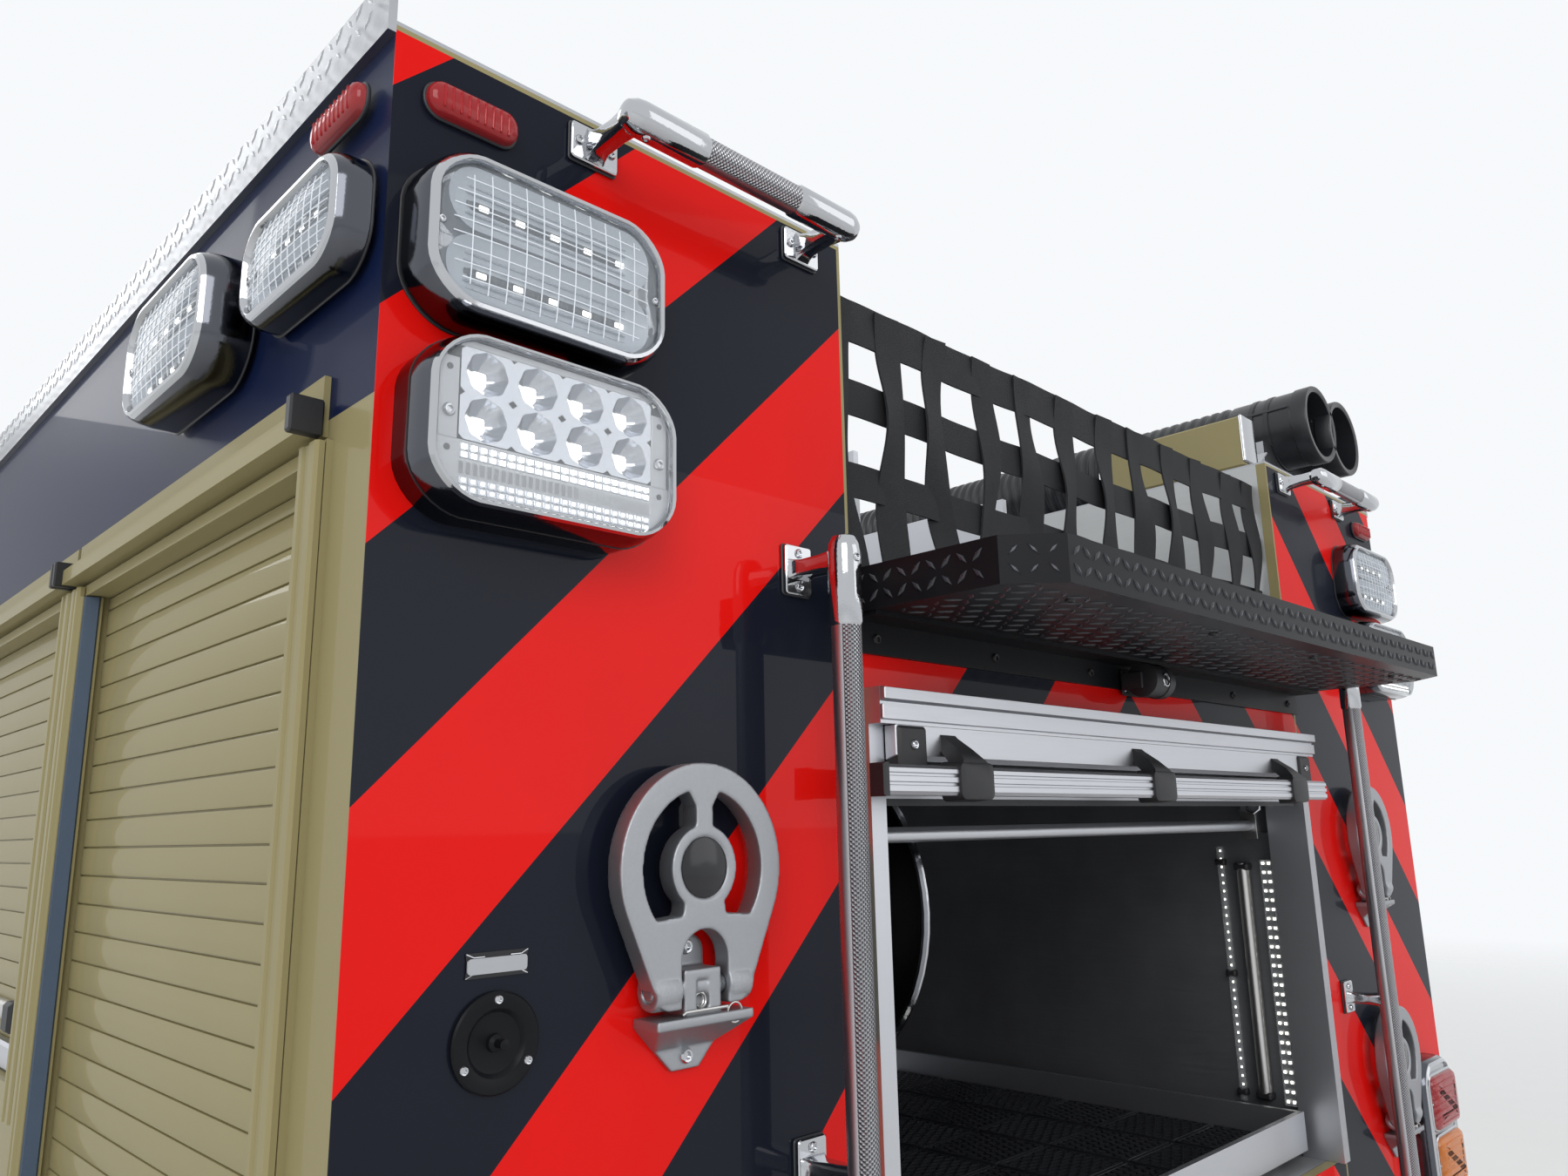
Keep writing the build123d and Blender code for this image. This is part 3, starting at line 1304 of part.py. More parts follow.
for side, hand in ((1, "left"), (-1, "right")):
    front_centre = side * front_track / 2
    twin_inner = side * (rear_track - twin_spacing) / 2
    twin_outer = side * (rear_track + twin_spacing) / 2
    save(make_tyre(front_axle_y, (front_centre,)), f"tyre_front_{hand}")
    save(make_tyre(rear_axle_y, (twin_inner, twin_outer)), f"tyre_rear_{hand}")
    save(
        make_rim(
            front_axle_y,
            ((front_centre, side * front_hub_face, side),),
            side * (front_hub_face - 130),
            side * (front_hub_face + 48),
            side * (front_hub_face - 15),
        ),
        f"rim_front_{hand}",
    )
    mount = side * rear_track / 2
    save(
        make_rim(
            rear_axle_y,
            ((twin_inner, mount, side), (twin_outer, mount, -side)),
            mount - side * 130,
            mount + side * 160,
            mount + side * 115,
        ),
        f"rim_rear_{hand}",
    )
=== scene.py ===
import bmesh
import bpy
from math import cos, pi, radians, sin
from mathutils import Matrix, Vector
from random import Random


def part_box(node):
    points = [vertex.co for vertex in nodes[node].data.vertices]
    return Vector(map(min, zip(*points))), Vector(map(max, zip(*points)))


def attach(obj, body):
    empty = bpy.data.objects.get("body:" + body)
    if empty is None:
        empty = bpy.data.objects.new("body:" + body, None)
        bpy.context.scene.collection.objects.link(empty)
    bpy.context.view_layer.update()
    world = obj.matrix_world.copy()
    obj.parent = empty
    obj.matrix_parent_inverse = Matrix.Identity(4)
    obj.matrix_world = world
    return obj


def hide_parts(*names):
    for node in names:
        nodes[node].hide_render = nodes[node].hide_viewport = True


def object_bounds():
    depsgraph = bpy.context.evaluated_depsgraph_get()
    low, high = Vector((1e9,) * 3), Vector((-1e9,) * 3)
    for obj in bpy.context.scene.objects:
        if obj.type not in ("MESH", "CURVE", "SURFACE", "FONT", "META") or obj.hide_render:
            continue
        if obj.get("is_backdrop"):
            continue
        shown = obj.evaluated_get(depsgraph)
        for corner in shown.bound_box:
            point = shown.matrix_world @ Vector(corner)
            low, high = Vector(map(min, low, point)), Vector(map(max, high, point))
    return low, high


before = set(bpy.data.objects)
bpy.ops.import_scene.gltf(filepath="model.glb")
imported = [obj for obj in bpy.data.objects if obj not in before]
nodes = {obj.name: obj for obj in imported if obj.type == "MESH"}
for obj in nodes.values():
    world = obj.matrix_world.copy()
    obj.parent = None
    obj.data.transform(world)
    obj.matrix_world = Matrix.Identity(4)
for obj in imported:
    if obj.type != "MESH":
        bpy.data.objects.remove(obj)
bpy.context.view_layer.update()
print("frame loaded")

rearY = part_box("rear_panel")[1].y  # rear face of the body
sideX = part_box("side_module_left")[1].x
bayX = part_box("side_module_left")[0].x
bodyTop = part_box("side_module_left")[1].z
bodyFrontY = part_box("side_module_left")[0].y
frontAxleY = (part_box("rim_front_left")[0].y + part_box("rim_front_left")[1].y) / 2
rearAxleY = (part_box("rim_rear_left")[0].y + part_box("rim_rear_left")[1].y) / 2
hands = ((1, "left"), (-1, "right"))
# the cab's measures from the part's source, from the front axle and the ground
cab = {"half": 1.016, "belt": 1.44, "roof": 2.05, "doorFront": 0.56, "doorBack": 1.68, "floor": 0.86}


# Shader sockets with arithmetic

def arithmetic(operation, swapped=False):
    # An operator of Value: a math node, with the two values the other way round if swapped
    def method(self, *others):
        values = [*others, self] if swapped else [self, *others]
        return self.shader.node("ShaderNodeMath", {"operation": operation}, values)

    return method


class Value:
    def __init__(self, shader, socket):
        self.shader = shader
        self.socket = socket

    def math(self, operation, *others):
        return arithmetic(operation)(self, *others)

    __add__ = arithmetic("ADD")
    __radd__ = arithmetic("ADD", True)
    __sub__ = arithmetic("SUBTRACT")
    __rsub__ = arithmetic("SUBTRACT", True)
    __mul__ = arithmetic("MULTIPLY")
    __truediv__ = arithmetic("DIVIDE")
    __mod__ = arithmetic("FLOORED_MODULO")
    __gt__ = arithmetic("GREATER_THAN")
    __lt__ = arithmetic("LESS_THAN")
    __abs__ = arithmetic("ABSOLUTE")
    __pow__ = arithmetic("POWER")


class Finish:
    def __init__(self, name):
        self.material = bpy.data.materials.new(name)
        self.material.use_nodes = True
        self.tree = self.material.node_tree
        self.surface = self.tree.nodes["Principled BSDF"]
        place = self.node("ShaderNodeTexCoord", output="Object")
        self.place = place
        self.x = self.node("ShaderNodeSeparateXYZ", values=[place], output="X")
        self.y = self.node("ShaderNodeSeparateXYZ", values=[place], output="Y")
        self.z = self.node("ShaderNodeSeparateXYZ", values=[place], output="Z")

    def feed(self, socket, value):
        if isinstance(value, Value):
            self.tree.links.new(value.socket, socket)
        elif isinstance(value, (tuple, list)) and len(value) == 3 and socket.type == "RGBA":
            socket.default_value = (*value, 1)
        else:
            socket.default_value = value

    def node(self, kind, settings=None, values=None, output=0):
        made = self.tree.nodes.new(kind)
        for key, value in (settings or {}).items():
            setattr(made, key, value)
        entries = values.items() if isinstance(values, dict) else enumerate(values or [])
        for key, value in entries:
            self.feed(made.inputs[key], value)
        return Value(self, made.outputs[output])

    def mix(self, mask, low, high):
        return self.node("ShaderNodeMix", {"data_type": "RGBA"}, {0: mask, 6: low, 7: high}, 2)

    def noise(self, scale, detail=2, stretch=(1, 1, 1)):
        place = self.node("ShaderNodeVectorMath", {"operation": "MULTIPLY"}, [self.place, stretch])
        return self.node("ShaderNodeTexNoise", values={"Vector": place, "Scale": scale, "Detail": detail})

    def set(self, **values):
        for key, value in values.items():
            self.feed(self.surface.inputs[key.replace("_", " ")], value)
        return self

    def bump(self, height, distance, strength=1.0):
        values = {"Height": height, "Distance": distance, "Strength": strength}
        return self.set(Normal=self.node("ShaderNodeBump", values=values))

    def worn(self, colour, amount=0.12, scale=6):
        spots = self.noise(scale, 5)
        darker = tuple(channel * (1 - amount) for channel in colour)
        lighter = tuple(min(1, channel * (1 + amount * 0.6)) for channel in colour)
        return self.mix(spots, darker, lighter)


def zigzag(value, period):
    return abs(value % period - period / 2)


# Colours read from the truck's own paints and fittings
hues = {
    "navy": (0.006, 0.012, 0.045),
    "tan": (0.29, 0.25, 0.125),
    "red": (0.7, 0.005, 0.003),
    "dark": (0.008, 0.01, 0.018),
    "black": (0.012, 0.012, 0.014),
    "silver": (0.56, 0.57, 0.6),
    "steel": (0.52, 0.51, 0.5),
    "chrome": (0.5, 0.51, 0.53),
    "rubber": (0.02, 0.022, 0.026),
}
twoToneZ = 1.941
stripes = {"rise": 0.209, "start": 3.449, "edge": 0.005}


def coach(name, colourOf, gloss=0.24, peel=0.00012):
    made = Finish(name)
    made.set(Base_Color=colourOf(made), Coat_Weight=gloss, Coat_Roughness=0.03, Roughness=0.4,
             Specular_IOR_Level=0.03)
    return made.bump(made.noise(260, 2), peel, 0.35)


def twoTone(made):
    return made.mix(made.z > twoToneZ, made.worn(hues["tan"], 0.05), made.worn(hues["navy"], 0.2))


def stripedRear(made):
    across, edge = abs(made.x), stripes["edge"]
    band = ((stripes["start"] - (across + made.z)) / stripes["rise"]).math("FLOOR") % 2
    colours = made.mix(band > 0.5, made.worn(hues["dark"], 0.15), made.worn(hues["red"], 0.06))
    # tan edges towards the hose bed and along the top, two-tone paint round the corner
    inner = (across < bayX + edge) + (made.z > bodyTop - edge)
    edges = made.mix(inner > 0.5, twoTone(made), made.worn(hues["tan"], 0.05))
    onRear = made.y > rearY - 0.001
    striped = (across > bayX + edge) * (made.z < bodyTop - edge) + (across < bayX - 0.001)
    return made.mix(onRear * striped * (across < sideX - edge), edges, colours)


def metal(name, colour, roughness, brush=None, grain=0.0002):
    made = Finish(name)
    scratches = made.noise(400, 2, brush or (1, 1, 1))
    made.set(Base_Color=made.worn(colour, 0.05), Metallic=1.0,
             Roughness=roughness + scratches * roughness * 0.4)
    return made.bump(scratches, grain, 0.3)


def plastic(name, colour, roughness, grain=0.0003):
    made = Finish(name)
    pores = made.noise(500, 3)
    made.set(Base_Color=made.worn(colour, 0.15, 20), Roughness=roughness + pores * 0.12)
    return made.bump(pores, grain, 0.4)


def lens(name, colour, clear):
    # Moulded lamp cover with a fine square grid of prisms
    made = Finish(name)
    grid = zigzag(made.x + made.y, 0.012) + zigzag(made.z, 0.012)
    made.set(Base_Color=made.worn(colour, 0.06, 30), Roughness=0.06, IOR=1.49, Alpha=1 - clear)
    return made.bump(grid, 0.0025)


def clad(name, colourOf, maskOf, under, metallic=0.0, roughness=0.4, grain=(1, 1, 1)):
    # Coach paint outside, and another finish where the mask is one
    made = coach(name, colourOf)
    mask = maskOf(made)
    scratches = made.noise(300, 2, grain)
    gloss = 0.24 - (made.z > twoToneZ) * 0.1
    made.set(Base_Color=made.mix(mask, colourOf(made), under(made)), Metallic=mask * metallic,
             Roughness=0.4 + mask * (scratches * 0.2 + roughness - 0.45), Coat_Weight=gloss * (1 - mask))
    return made


def plain(colour):
    return lambda made: made.worn(colour, 0.2, 9)


def shadedSheet(made):
    # Dull sheet, darker in the enclosed compartments as painted shade, brighter aluminium round the open hose
    # bed
    return made.mix(made.z > 1.8, made.worn((0.17, 0.175, 0.185), 0.25, 9),
                    made.worn((0.5, 0.51, 0.51), 0.12, 9))


def insideBody(made):
    inBay = (abs(made.x) < bayX + 0.0015) * (made.y < rearY - 0.03)
    inLocker = (abs(made.x) < sideX - 0.041) * (made.y < rearY - 0.019)
    return (inBay + inLocker) > 0.5


def insidePump(made):
    return (abs(made.x) < sideX - 0.0585) * (made.y < bodyFrontY - 0.044) * (made.y > bodyFrontY - 0.514)


# the cab's lining: its sides, back and windscreen lean in above the belt
lining = {"half": 0.965, "back": 2.102, "front": 0.5, "top": 1.992, "sideLean": 0.232, "backLean": 0.13,
          "screenLean": 1.036}


def insideCab(made):
    over = (made.z - cab["belt"]).math("MAXIMUM", 0.0)
    back = made.y - frontAxleY
    sides = (abs(made.x) + over * lining["sideLean"]) < lining["half"]
    rear = back < lining["back"] - over * lining["backLean"]
    ends = rear * (back - over * lining["screenLean"] > lining["front"])
    return sides * ends * (made.z < lining["top"])


def outsideDoor(made):
    # Lining inside, and the black mirrors, hinges and handles outside
    return (insideCab(made) + (abs(made.x) > 1.0185)) > 0.5


def overPlates(made):
    return made.z > bodyTop - 0.02


finishes = {
    "stripedPaint": clad("stripedPaint", stripedRear, insideBody, shadedSheet, 0.75, 0.5, (1, 0.04, 1)),
    "pumpPaint": clad("pumpPaint", twoTone, insidePump, plain((0.45, 0.45, 0.45)), 1.0, 0.32, (1, 1, 0.03)),
    "cabPaint": clad("cabPaint", twoTone, insideCab, plain((0.085, 0.085, 0.09)), 0.0, 0.65),
    "doorPaint": clad("doorPaint", twoTone, outsideDoor, plain((0.02, 0.02, 0.022)), 0.0, 0.5),
    "trimPaint": clad("trimPaint", lambda made: made.worn(hues["tan"], 0.05), overPlates,
                      plain((0.42, 0.43, 0.45)), 1.0, 0.3),
    "twoTonePaint": coach("twoTonePaint", twoTone),
    "tanPaint": coach("tanPaint", lambda made: made.worn(hues["tan"], 0.05)),
    "clearLens": lens("clearLens", (0.42, 0.46, 0.5), 0.75),
    "redLens": lens("redLens", (0.45, 0.006, 0.01), 0.35),
    "amberLens": lens("amberLens", (0.8, 0.22, 0.01), 0.35),
}
metals = {
    # colour, roughness, brushing, grain
    "chrome": (hues["chrome"], 0.06),
    "brushedSteel": (hues["steel"], 0.28, (0.05, 1, 1)),
    "anodised": (hues["silver"], 0.34, (0.03, 1, 1)),
    "castAlloy": ((0.36, 0.37, 0.39), 0.42),
    "roughCast": ((0.42, 0.43, 0.45), 0.55, None, 0.0012),
    "satinPlate": ((0.42, 0.43, 0.45), 0.4, (0.2, 0.2, 0.02)),
    "reflector": ((0.46, 0.48, 0.52), 0.12),
    # dark chrome for the lamp bezels' side walls: a painted reflection of the dark ground
    "smokeChrome": ((0.1, 0.105, 0.12), 0.1),
    "mirrorGlass": ((0.34, 0.37, 0.4), 0.02, None, 0.0),
    "treadPlain": ((0.46, 0.47, 0.49), 0.22),
    # dark brownish colour of the reel's polished discs and drum: a painted reflection
    "darkSteel": ((0.16, 0.15, 0.145), 0.2, (0.1, 1, 1)),
    "linerSheet": ((0.4, 0.4, 0.41), 0.5, (1, 0.05, 1)),
}
plastics = {
    # colour, roughness, grain
    "frameBlack": (hues["black"], 0.4),
    "blackPlastic": (hues["black"], 0.45),
    "greyPlastic": ((0.1, 0.1, 0.105), 0.6),
    "tankPlastic": ((0.6, 0.62, 0.6), 0.4),
    "castIron": ((0.06, 0.06, 0.062), 0.6, 0.0008),
    "rubber": (hues["rubber"], 0.42),
    "tyreRubber": ((0.018, 0.018, 0.019), 0.62, 0.0006),
    "blackPaint": ((0.007, 0.0075, 0.009), 0.3, 0.0001),
    # lighter than blackPaint: the raised lozenges carry a painted highlight on their edges
    "blackTread": ((0.028, 0.031, 0.038), 0.22, 0.0001),
    "glossBlack": ((0.006, 0.006, 0.008), 0.08, 0.00005),
    # pale ribs on the clear lamp lenses: painted highlight of the light the prisms catch
    "lensRib": ((0.78, 0.82, 0.87), 0.2),
    "paleReflector": ((0.7, 0.74, 0.8), 0.25),
    "dialFace": ((0.75, 0.75, 0.73), 0.4),
    "slateStrip": ((0.045, 0.075, 0.125), 0.4),
    "matRubber": ((0.014, 0.015, 0.018), 0.32),
    "hosePlastic": ((0.014, 0.015, 0.018), 0.3),
}
for name, look in metals.items():
    finishes[name] = metal(name, *look)
for name, look in plastics.items():
    finishes[name] = plastic(name, *look)
finishes["blackPaint"].set(Specular_IOR_Level=0.12)

rail = {"out": 0.075, "radius": 0.016, "x": 0.73, "low": 0.69, "high": 1.887, "topZ": 2.258,
        "topInner": 0.695, "topOuter": 1.026, "feet": (0.72, 1.25, 1.86), "topFeet": (0.712, 1.01)}
knurl = metal("knurled", (0.42, 0.42, 0.44), 0.3)
# diamond knurling in two bands round each rail, with polished flats between them
alongTop = knurl.z > 2.2
radial = (abs(knurl.x) - rail["x"]) * (1 - alongTop) + (knurl.z - rail["topZ"]) * alongTop
turned = (knurl.y - rearY - rail["out"]).math("ARCTAN2", radial)
along = knurl.z * (1 - alongTop) + knurl.x * alongTop
up = abs((turned * 3.2 + along / 0.0045) % 1 - 0.5)
down = abs((turned * 3.2 - along / 0.0045) % 1 - 0.5)
hatch = (up + down) * ((turned * 2).math("COSINE") < 0.62)
# the knurled lines are painted dark against the bright flats: painted shade in the knurl's grooves
knurl.set(Base_Color=knurl.mix(hatch > 0.55, (0.46, 0.46, 0.48), (0.13, 0.13, 0.14)))
finishes["knurled"] = knurl.bump(hatch, 0.002)


def simple(name, colour, wear, scale=6, **settings):
    made = Finish(name)
    finishes[name] = made.set(Base_Color=made.worn(colour, wear, scale), **settings)
    return made


simple("litChip", (0.95, 0.95, 0.85), 0.03, Emission_Color=(1.0, 0.98, 0.9), Emission_Strength=2.5,
       Roughness=0.3)
simple("clearCover", (0.8, 0.84, 0.88), 0.02, Roughness=0.03, Alpha=0.12)
simple("windowGlass", (0.03, 0.045, 0.045), 0.1, Roughness=0.02, Alpha=0.8, Specular_IOR_Level=0.5)
web = simple("webbing", (0.013, 0.014, 0.017), 0.3, 40, Roughness=0.75)
web.bump(zigzag(web.x + web.z, 0.003) + zigzag(web.x - web.z, 0.003), 0.5)
cloth = simple("seatCloth", (0.09, 0.09, 0.1), 0.2, 30, Roughness=0.9)
cloth.bump(zigzag(cloth.x + cloth.z, 0.004) + zigzag(cloth.y - cloth.z, 0.004), 0.3)
print("finishes made:", len(finishes))

# The CAD nodes by the finish they have where they stay as they are
nodeFinishes = {
    "frameBlack": "frame_rails leaf_springs",
    "castIron": "axle_beams driveline engine_block knuckle_left knuckle_right",
    "blackPlastic": "fuel_tank rear_fittings",
    "cabPaint": "cab_shell",
    "windowGlass": "cab_glass door_glass_left door_glass_right",
    "greyPlastic": "dashboard",
    "seatCloth": "seats hose_net",
    "twoTonePaint": "front_wings hood",
    "chrome": "grille front_bumper pump_ports",
    "clearLens": "headlamps body_lamps",
    "treadPlain": "running_boards tailboard",
    "redLens": "light_bar tail_lamps",
    "pumpPaint": "pump_house",
    "stripedPaint": "side_module_left side_module_right rear_panel",
    "tanPaint": "side_shutters",
    "anodised": "hose_bed shutter_frame rear_shutter tray",
    "tankPlastic": "water_tank",
    "linerSheet": "compartment_liner",
    "blackPaint": "upper_step",
    "brushedSteel": "grab_rails reel",
    "rubber": "hard_suctions tray_mat",
    "trimPaint": "roof_trim",
    "castAlloy": "step_feet",
    "doorPaint": "door_left door_right",
}


def dressed(data, finish):
    data.materials.clear()
    data.materials.append(finishes[finish].material)


for finish, names in nodeFinishes.items():
    for name in names.split():
        dressed(nodes[name].data, finish)
for name in nodes:
    for start, finish in (("tyre_", "tyreRubber"), ("rim_", "anodised"), ("folding_", "castAlloy")):
        if name.startswith(start):
            dressed(nodes[name].data, finish)


# Mesh building: outlines in a plane, skinned, turned or swept into closed forms

def roundRect(width, height, corner, steps=4):
    points = []
    for right, up, start in ((1, 1, 0), (-1, 1, 90), (-1, -1, 180), (1, -1, 270)):
        for step in range(steps + 1):
            angle = radians(start + 90 * step / steps)
            points.append((right * (width / 2 - corner) + corner * cos(angle), up * (height / 2 - corner)
                           + corner * sin(angle)))
    return points


def inset(outline, distance):
    # Every corner moves inwards along its mitre; the outline runs anticlockwise
    moved = []
    for index, (x, y) in enumerate(outline):
        before = Vector(outline[index - 1])
        after = Vector(outline[(index + 1) % len(outline)])
        into = (Vector((x, y)) - before).normalized()
        out = (after - Vector((x, y))).normalized()
        normal = Vector((-into.y - out.y, into.x + out.x))
        if normal.length > 0.01:
            normal = normal.normalized() / max(0.4, normal.length / 2)
        moved.append((x + normal.x * distance, y + normal.y * distance))
    return moved


def added(name, data):
    made = bpy.data.objects.new(name, data)
    bpy.context.scene.collection.objects.link(made)
    return made


class Piece:
    def __init__(self, name, finish):
        self.name = name
        self.mesh = bmesh.new()
        self.place = Matrix.Identity(4)
        self.slots = []
        self.wear(finish)

    def wear(self, finish):
        if finish not in self.slots:
            self.slots.append(finish)
        self.slot = self.slots.index(finish)
        return self

    def at(self, place):
        self.place = place
        return self

    def face(self, corners):
        made = self.mesh.faces.new(corners)
        made.material_index = self.slot

    def ring(self, points):
        return [self.mesh.verts.new(self.place @ Vector(point)) for point in points]

    def skin(self, rings, capped=True, closed=True, looped=False):
        made = [self.ring(points) for points in rings]
        around = len(made[0])
        pairs = list(zip(made, made[1:]))
        if looped:
            pairs.append((made[-1], made[0]))
        for low, high in pairs:
            for corner in range(around if closed else around - 1):
                after = (corner + 1) % around
                self.face((low[corner], low[after], high[after], high[corner]))
        if capped and not looped:
            self.face(list(reversed(made[0])))
            self.face(made[-1])
        return made

    def prism(self, outline, start, end, bevel=0.0):
        low = inset(outline, bevel)
        levels = [(low, start), (outline, start + bevel), (outline, end - bevel), (low, end)]
        if not bevel:
            levels = [(outline, start), (outline, end)]
        self.skin([[(x, y, level) for x, y in shape] for shape, level in levels])
        return self

    def block(self, low, high, bevel=0.002, corner=None):
        low, high = zip(*(sorted(pair) for pair in zip(low, high)))
        width, height = high[0] - low[0], high[1] - low[1]
        middle = ((low[0] + high[0]) / 2, (low[1] + high[1]) / 2)
        corner = min(corner or bevel, width / 2.2, height / 2.2)
        outline = [(x + middle[0], y + middle[1]) for x, y in roundRect(width, height, corner, 3)]
        return self.prism(outline, low[2], high[2], min(bevel, corner * 0.95))

    def slab(self, u, v, wide, tall, low, high, bevel=0.002, corner=None):
        # A block round a centre: wide and tall are half of its size
        return self.block((u - wide, v - tall, low), (u + wide, v + tall, high), bevel, corner)

    def stepped(self, outline, steps, looped=False):
        # Copies of an outline, each drawn in by its reach, at its level
        self.skin([[(x, y, level) for x, y in inset(outline, reach)] for reach, level in steps],
                  looped=looped)

    def lathe(self, profile, segments=24, looped=False):
        rings = [[(radius * cos(2 * pi * step / segments), radius * sin(2 * pi * step / segments), along)
                  for step in range(segments)] for radius, along in profile]
        self.skin(rings, looped=looped)
        return self

    def tube(self, path, radius, segments=12):
        points = [Vector(point) for point in path]
        side = None
        rings = []
        for index, point in enumerate(points):
            ahead = points[min(index + 1, len(points) - 1)] - points[max(index - 1, 0)]
            ahead.normalize()
            if side is None:
                side = ahead.orthogonal().normalized()
            side = (side - ahead * side.dot(ahead)).normalized()
            up = ahead.cross(side)
            rings.append([point + (side * cos(turn) + up * sin(turn)) * radius
                          for turn in (2 * pi * step / segments for step in range(segments))])
        self.skin(rings)
        return self

    def grid(self, across, along, position):
        # An open sheet: position(a, b) for a and b from 0 to 1
        rows = [self.ring([position(a / across, b / along) for a in range(across + 1)])
                for b in range(along + 1)]
        for low, high in zip(rows, rows[1:]):
            for index in range(across):
                self.face((low[index], low[index + 1], high[index + 1], high[index]))
        return self

    def screw(self, u, v, w, radius=0.006):
        # Button head with a hexagonal socket
        home = self.place
        self.place = home @ flat(u, v, w)
        hexagon = [(radius * 0.5, radius * 0.45), (radius * 0.5, radius * 0.15)]
        self.lathe([(radius, 0), (radius * 0.98, radius * 0.2), (radius * 0.75, radius * 0.5)] + hexagon, 12)
        self.place = home
        return self

    def screws(self, count, circle, w, radius):
        # A ring of screws round the middle
        for index in range(count):
            turn = 2 * pi * index / count
            self.screw(circle * cos(turn), circle * sin(turn), w, radius)

    def done(self, body="chassis", replaces=(), slot=None, smooth=38):
        bmesh.ops.recalc_face_normals(self.mesh, faces=self.mesh.faces)
        data = bpy.data.meshes.new(self.name)
        self.mesh.to_mesh(data)
        self.mesh.free()
        for finish in self.slots:
            data.materials.append(finishes[finish].material)
        data.shade_smooth()
        data.set_sharp_from_angle(angle=radians(smooth))
        made = added(self.name, data)
        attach(made, body)
        if replaces:
            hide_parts(*replaces)
        return made


def onRear(x, z, out=0.0):
    # u along X, v up, w out of the rear face
    return Matrix(((1, 0, 0, x), (0, 0, 1, rearY + out), (0, 1, 0, z), (0, 0, 0, 1)))


def onFront(x, y, z):
    # u along X, v up, w ahead
    return Matrix(((1, 0, 0, x), (0, 0, -1, y), (0, 1, 0, z), (0, 0, 0, 1)))


def facing(side, x, y, z):
    # u along Y, v up, w towards the side
    return Matrix(((0, 0, side, x), (1, 0, 0, y), (0, 1, 0, z), (0, 0, 0, 1)))


def onSide(side, y, z, out=0.0):
    return facing(side, side * (sideX + out), y, z)


def flat(x, y, z):
    # u along X, v along Y, w up
    return Matrix.Translation((x, y, z))


def spun(angle, axis):
    return Matrix.Rotation(angle, 4, axis)


# Lamps on the body

def lampBezel(piece, size, corner, depth, rim, recess):
    # Housing, rounded rim and the recess that holds the reflector, as one closed shell
    outline = bulged(roundRect(size[0], size[1], corner, 8), size)
    steps = ((0, 0), (0, depth * 0.5), (0.002, depth * 0.74), (0.005, depth * 0.9),
             (rim * 0.7, depth * 0.985), (rim, depth), (rim + 0.0015, depth - 0.002),
             (rim + 0.003, depth - recess))
    first = len(piece.mesh.faces)
    piece.stepped(outline, steps)
    # the side walls wear a dark chrome, a painted reflection of the dark ground
    home = piece.slot
    piece.wear("smokeChrome")
    piece.mesh.faces.ensure_lookup_table()
    for made in piece.mesh.faces[first:first + 3 * len(outline)]:
        made.material_index = piece.slot
    piece.slot = home


def bulged(outline, size, pulls=(0.035, 0.085)):
    # The sides bow out a little between the corners
    return [(x * (1 - pulls[0] * (2 * y / size[1]) ** 2), y * (1 - pulls[1] * (2 * x / size[0]) ** 2))
            for x, y in outline]


def lensSheet(piece, size, level, crown, power=4.2):
    # Domed cover with rounded corners
    def position(a, b):
        p, q = 2 * a - 1, 2 * b - 1
        reach = (abs(p) ** power + abs(q) ** power) ** (1 / power)
        edge = max(abs(p), abs(q))
        pull = edge / reach if reach else 1
        return (p * pull * size[0] / 2, q * pull * size[1] / 2, level + crown * (1 - edge ** 2.5))

    piece.grid(28, 20, position)


def lensRibs(piece, size, level, crown, columns, rows, power=4.2, border=0.88, radius=0.0006):
    # Fine straight ribs that cross the dome both ways, inside the smooth border, pale as painted highlight
    half = (size[0] / 2, size[1] / 2)
    for count, along in ((columns, 1), (rows, 0)):
        for line in range(1, count):
            share = border * (2 * line / count - 1)
            reach = (border ** power - abs(share) ** power) ** (1 / power)
            points = []
            for step in range(15):
                other = reach * (2 * step / 14 - 1)
                p, q = (share, other) if along else (other, share)
                edge = (abs(p) ** power + abs(q) ** power) ** (1 / power)
                points.append((p * half[0], q * half[1], level + crown * (1 - edge ** 2.5) + radius * 0.6))
            piece.tube(points, radius, 4)


def podTile(piece, u, v, level, tile, radius, depth, petals=8):
    # Square tile of the reflector plate that dips into a petalled cup with a lit chip
    turns = [2 * pi * (step + 0.5) / 32 for step in range(32)]
    square = [(cos(turn) / max(abs(cos(turn)), abs(sin(turn))),
               sin(turn) / max(abs(cos(turn)), abs(sin(turn)))) for turn in turns]
    rings = [[(u + x * tile[0] / 2, v + y * tile[1] / 2, level) for x, y in square]]
    for share, sink in ((1.0, 0.0), (0.93, 0.14), (0.72, 0.6), (0.4, 0.92), (0.26, 1.0)):
        rings.append([(u + cos(turn) * radius * share * (1 - 0.09 * abs(sin(turn * petals / 2))),
                       v + sin(turn) * radius * share * (1 - 0.09 * abs(sin(turn * petals / 2))),
                       level - sink * depth) for turn in turns])
    piece.wear("reflector").skin(rings, capped=False)
    piece.wear("litChip").slab(u, v, radius * 0.3, radius * 0.3, level - depth, level - depth * 0.82, 0.001,
        radius * 0.1)


warningLamp = {"size": (0.264, 0.165), "corner": 0.05, "rim": 0.012, "recess": 0.02, "cells": (12, 9)}
sceneLamp = {"size": (0.264, 0.165), "corner": 0.048, "rim": 0.009, "recess": 0.026, "leds": 22,
             "tile": (0.0495, 0.041)}


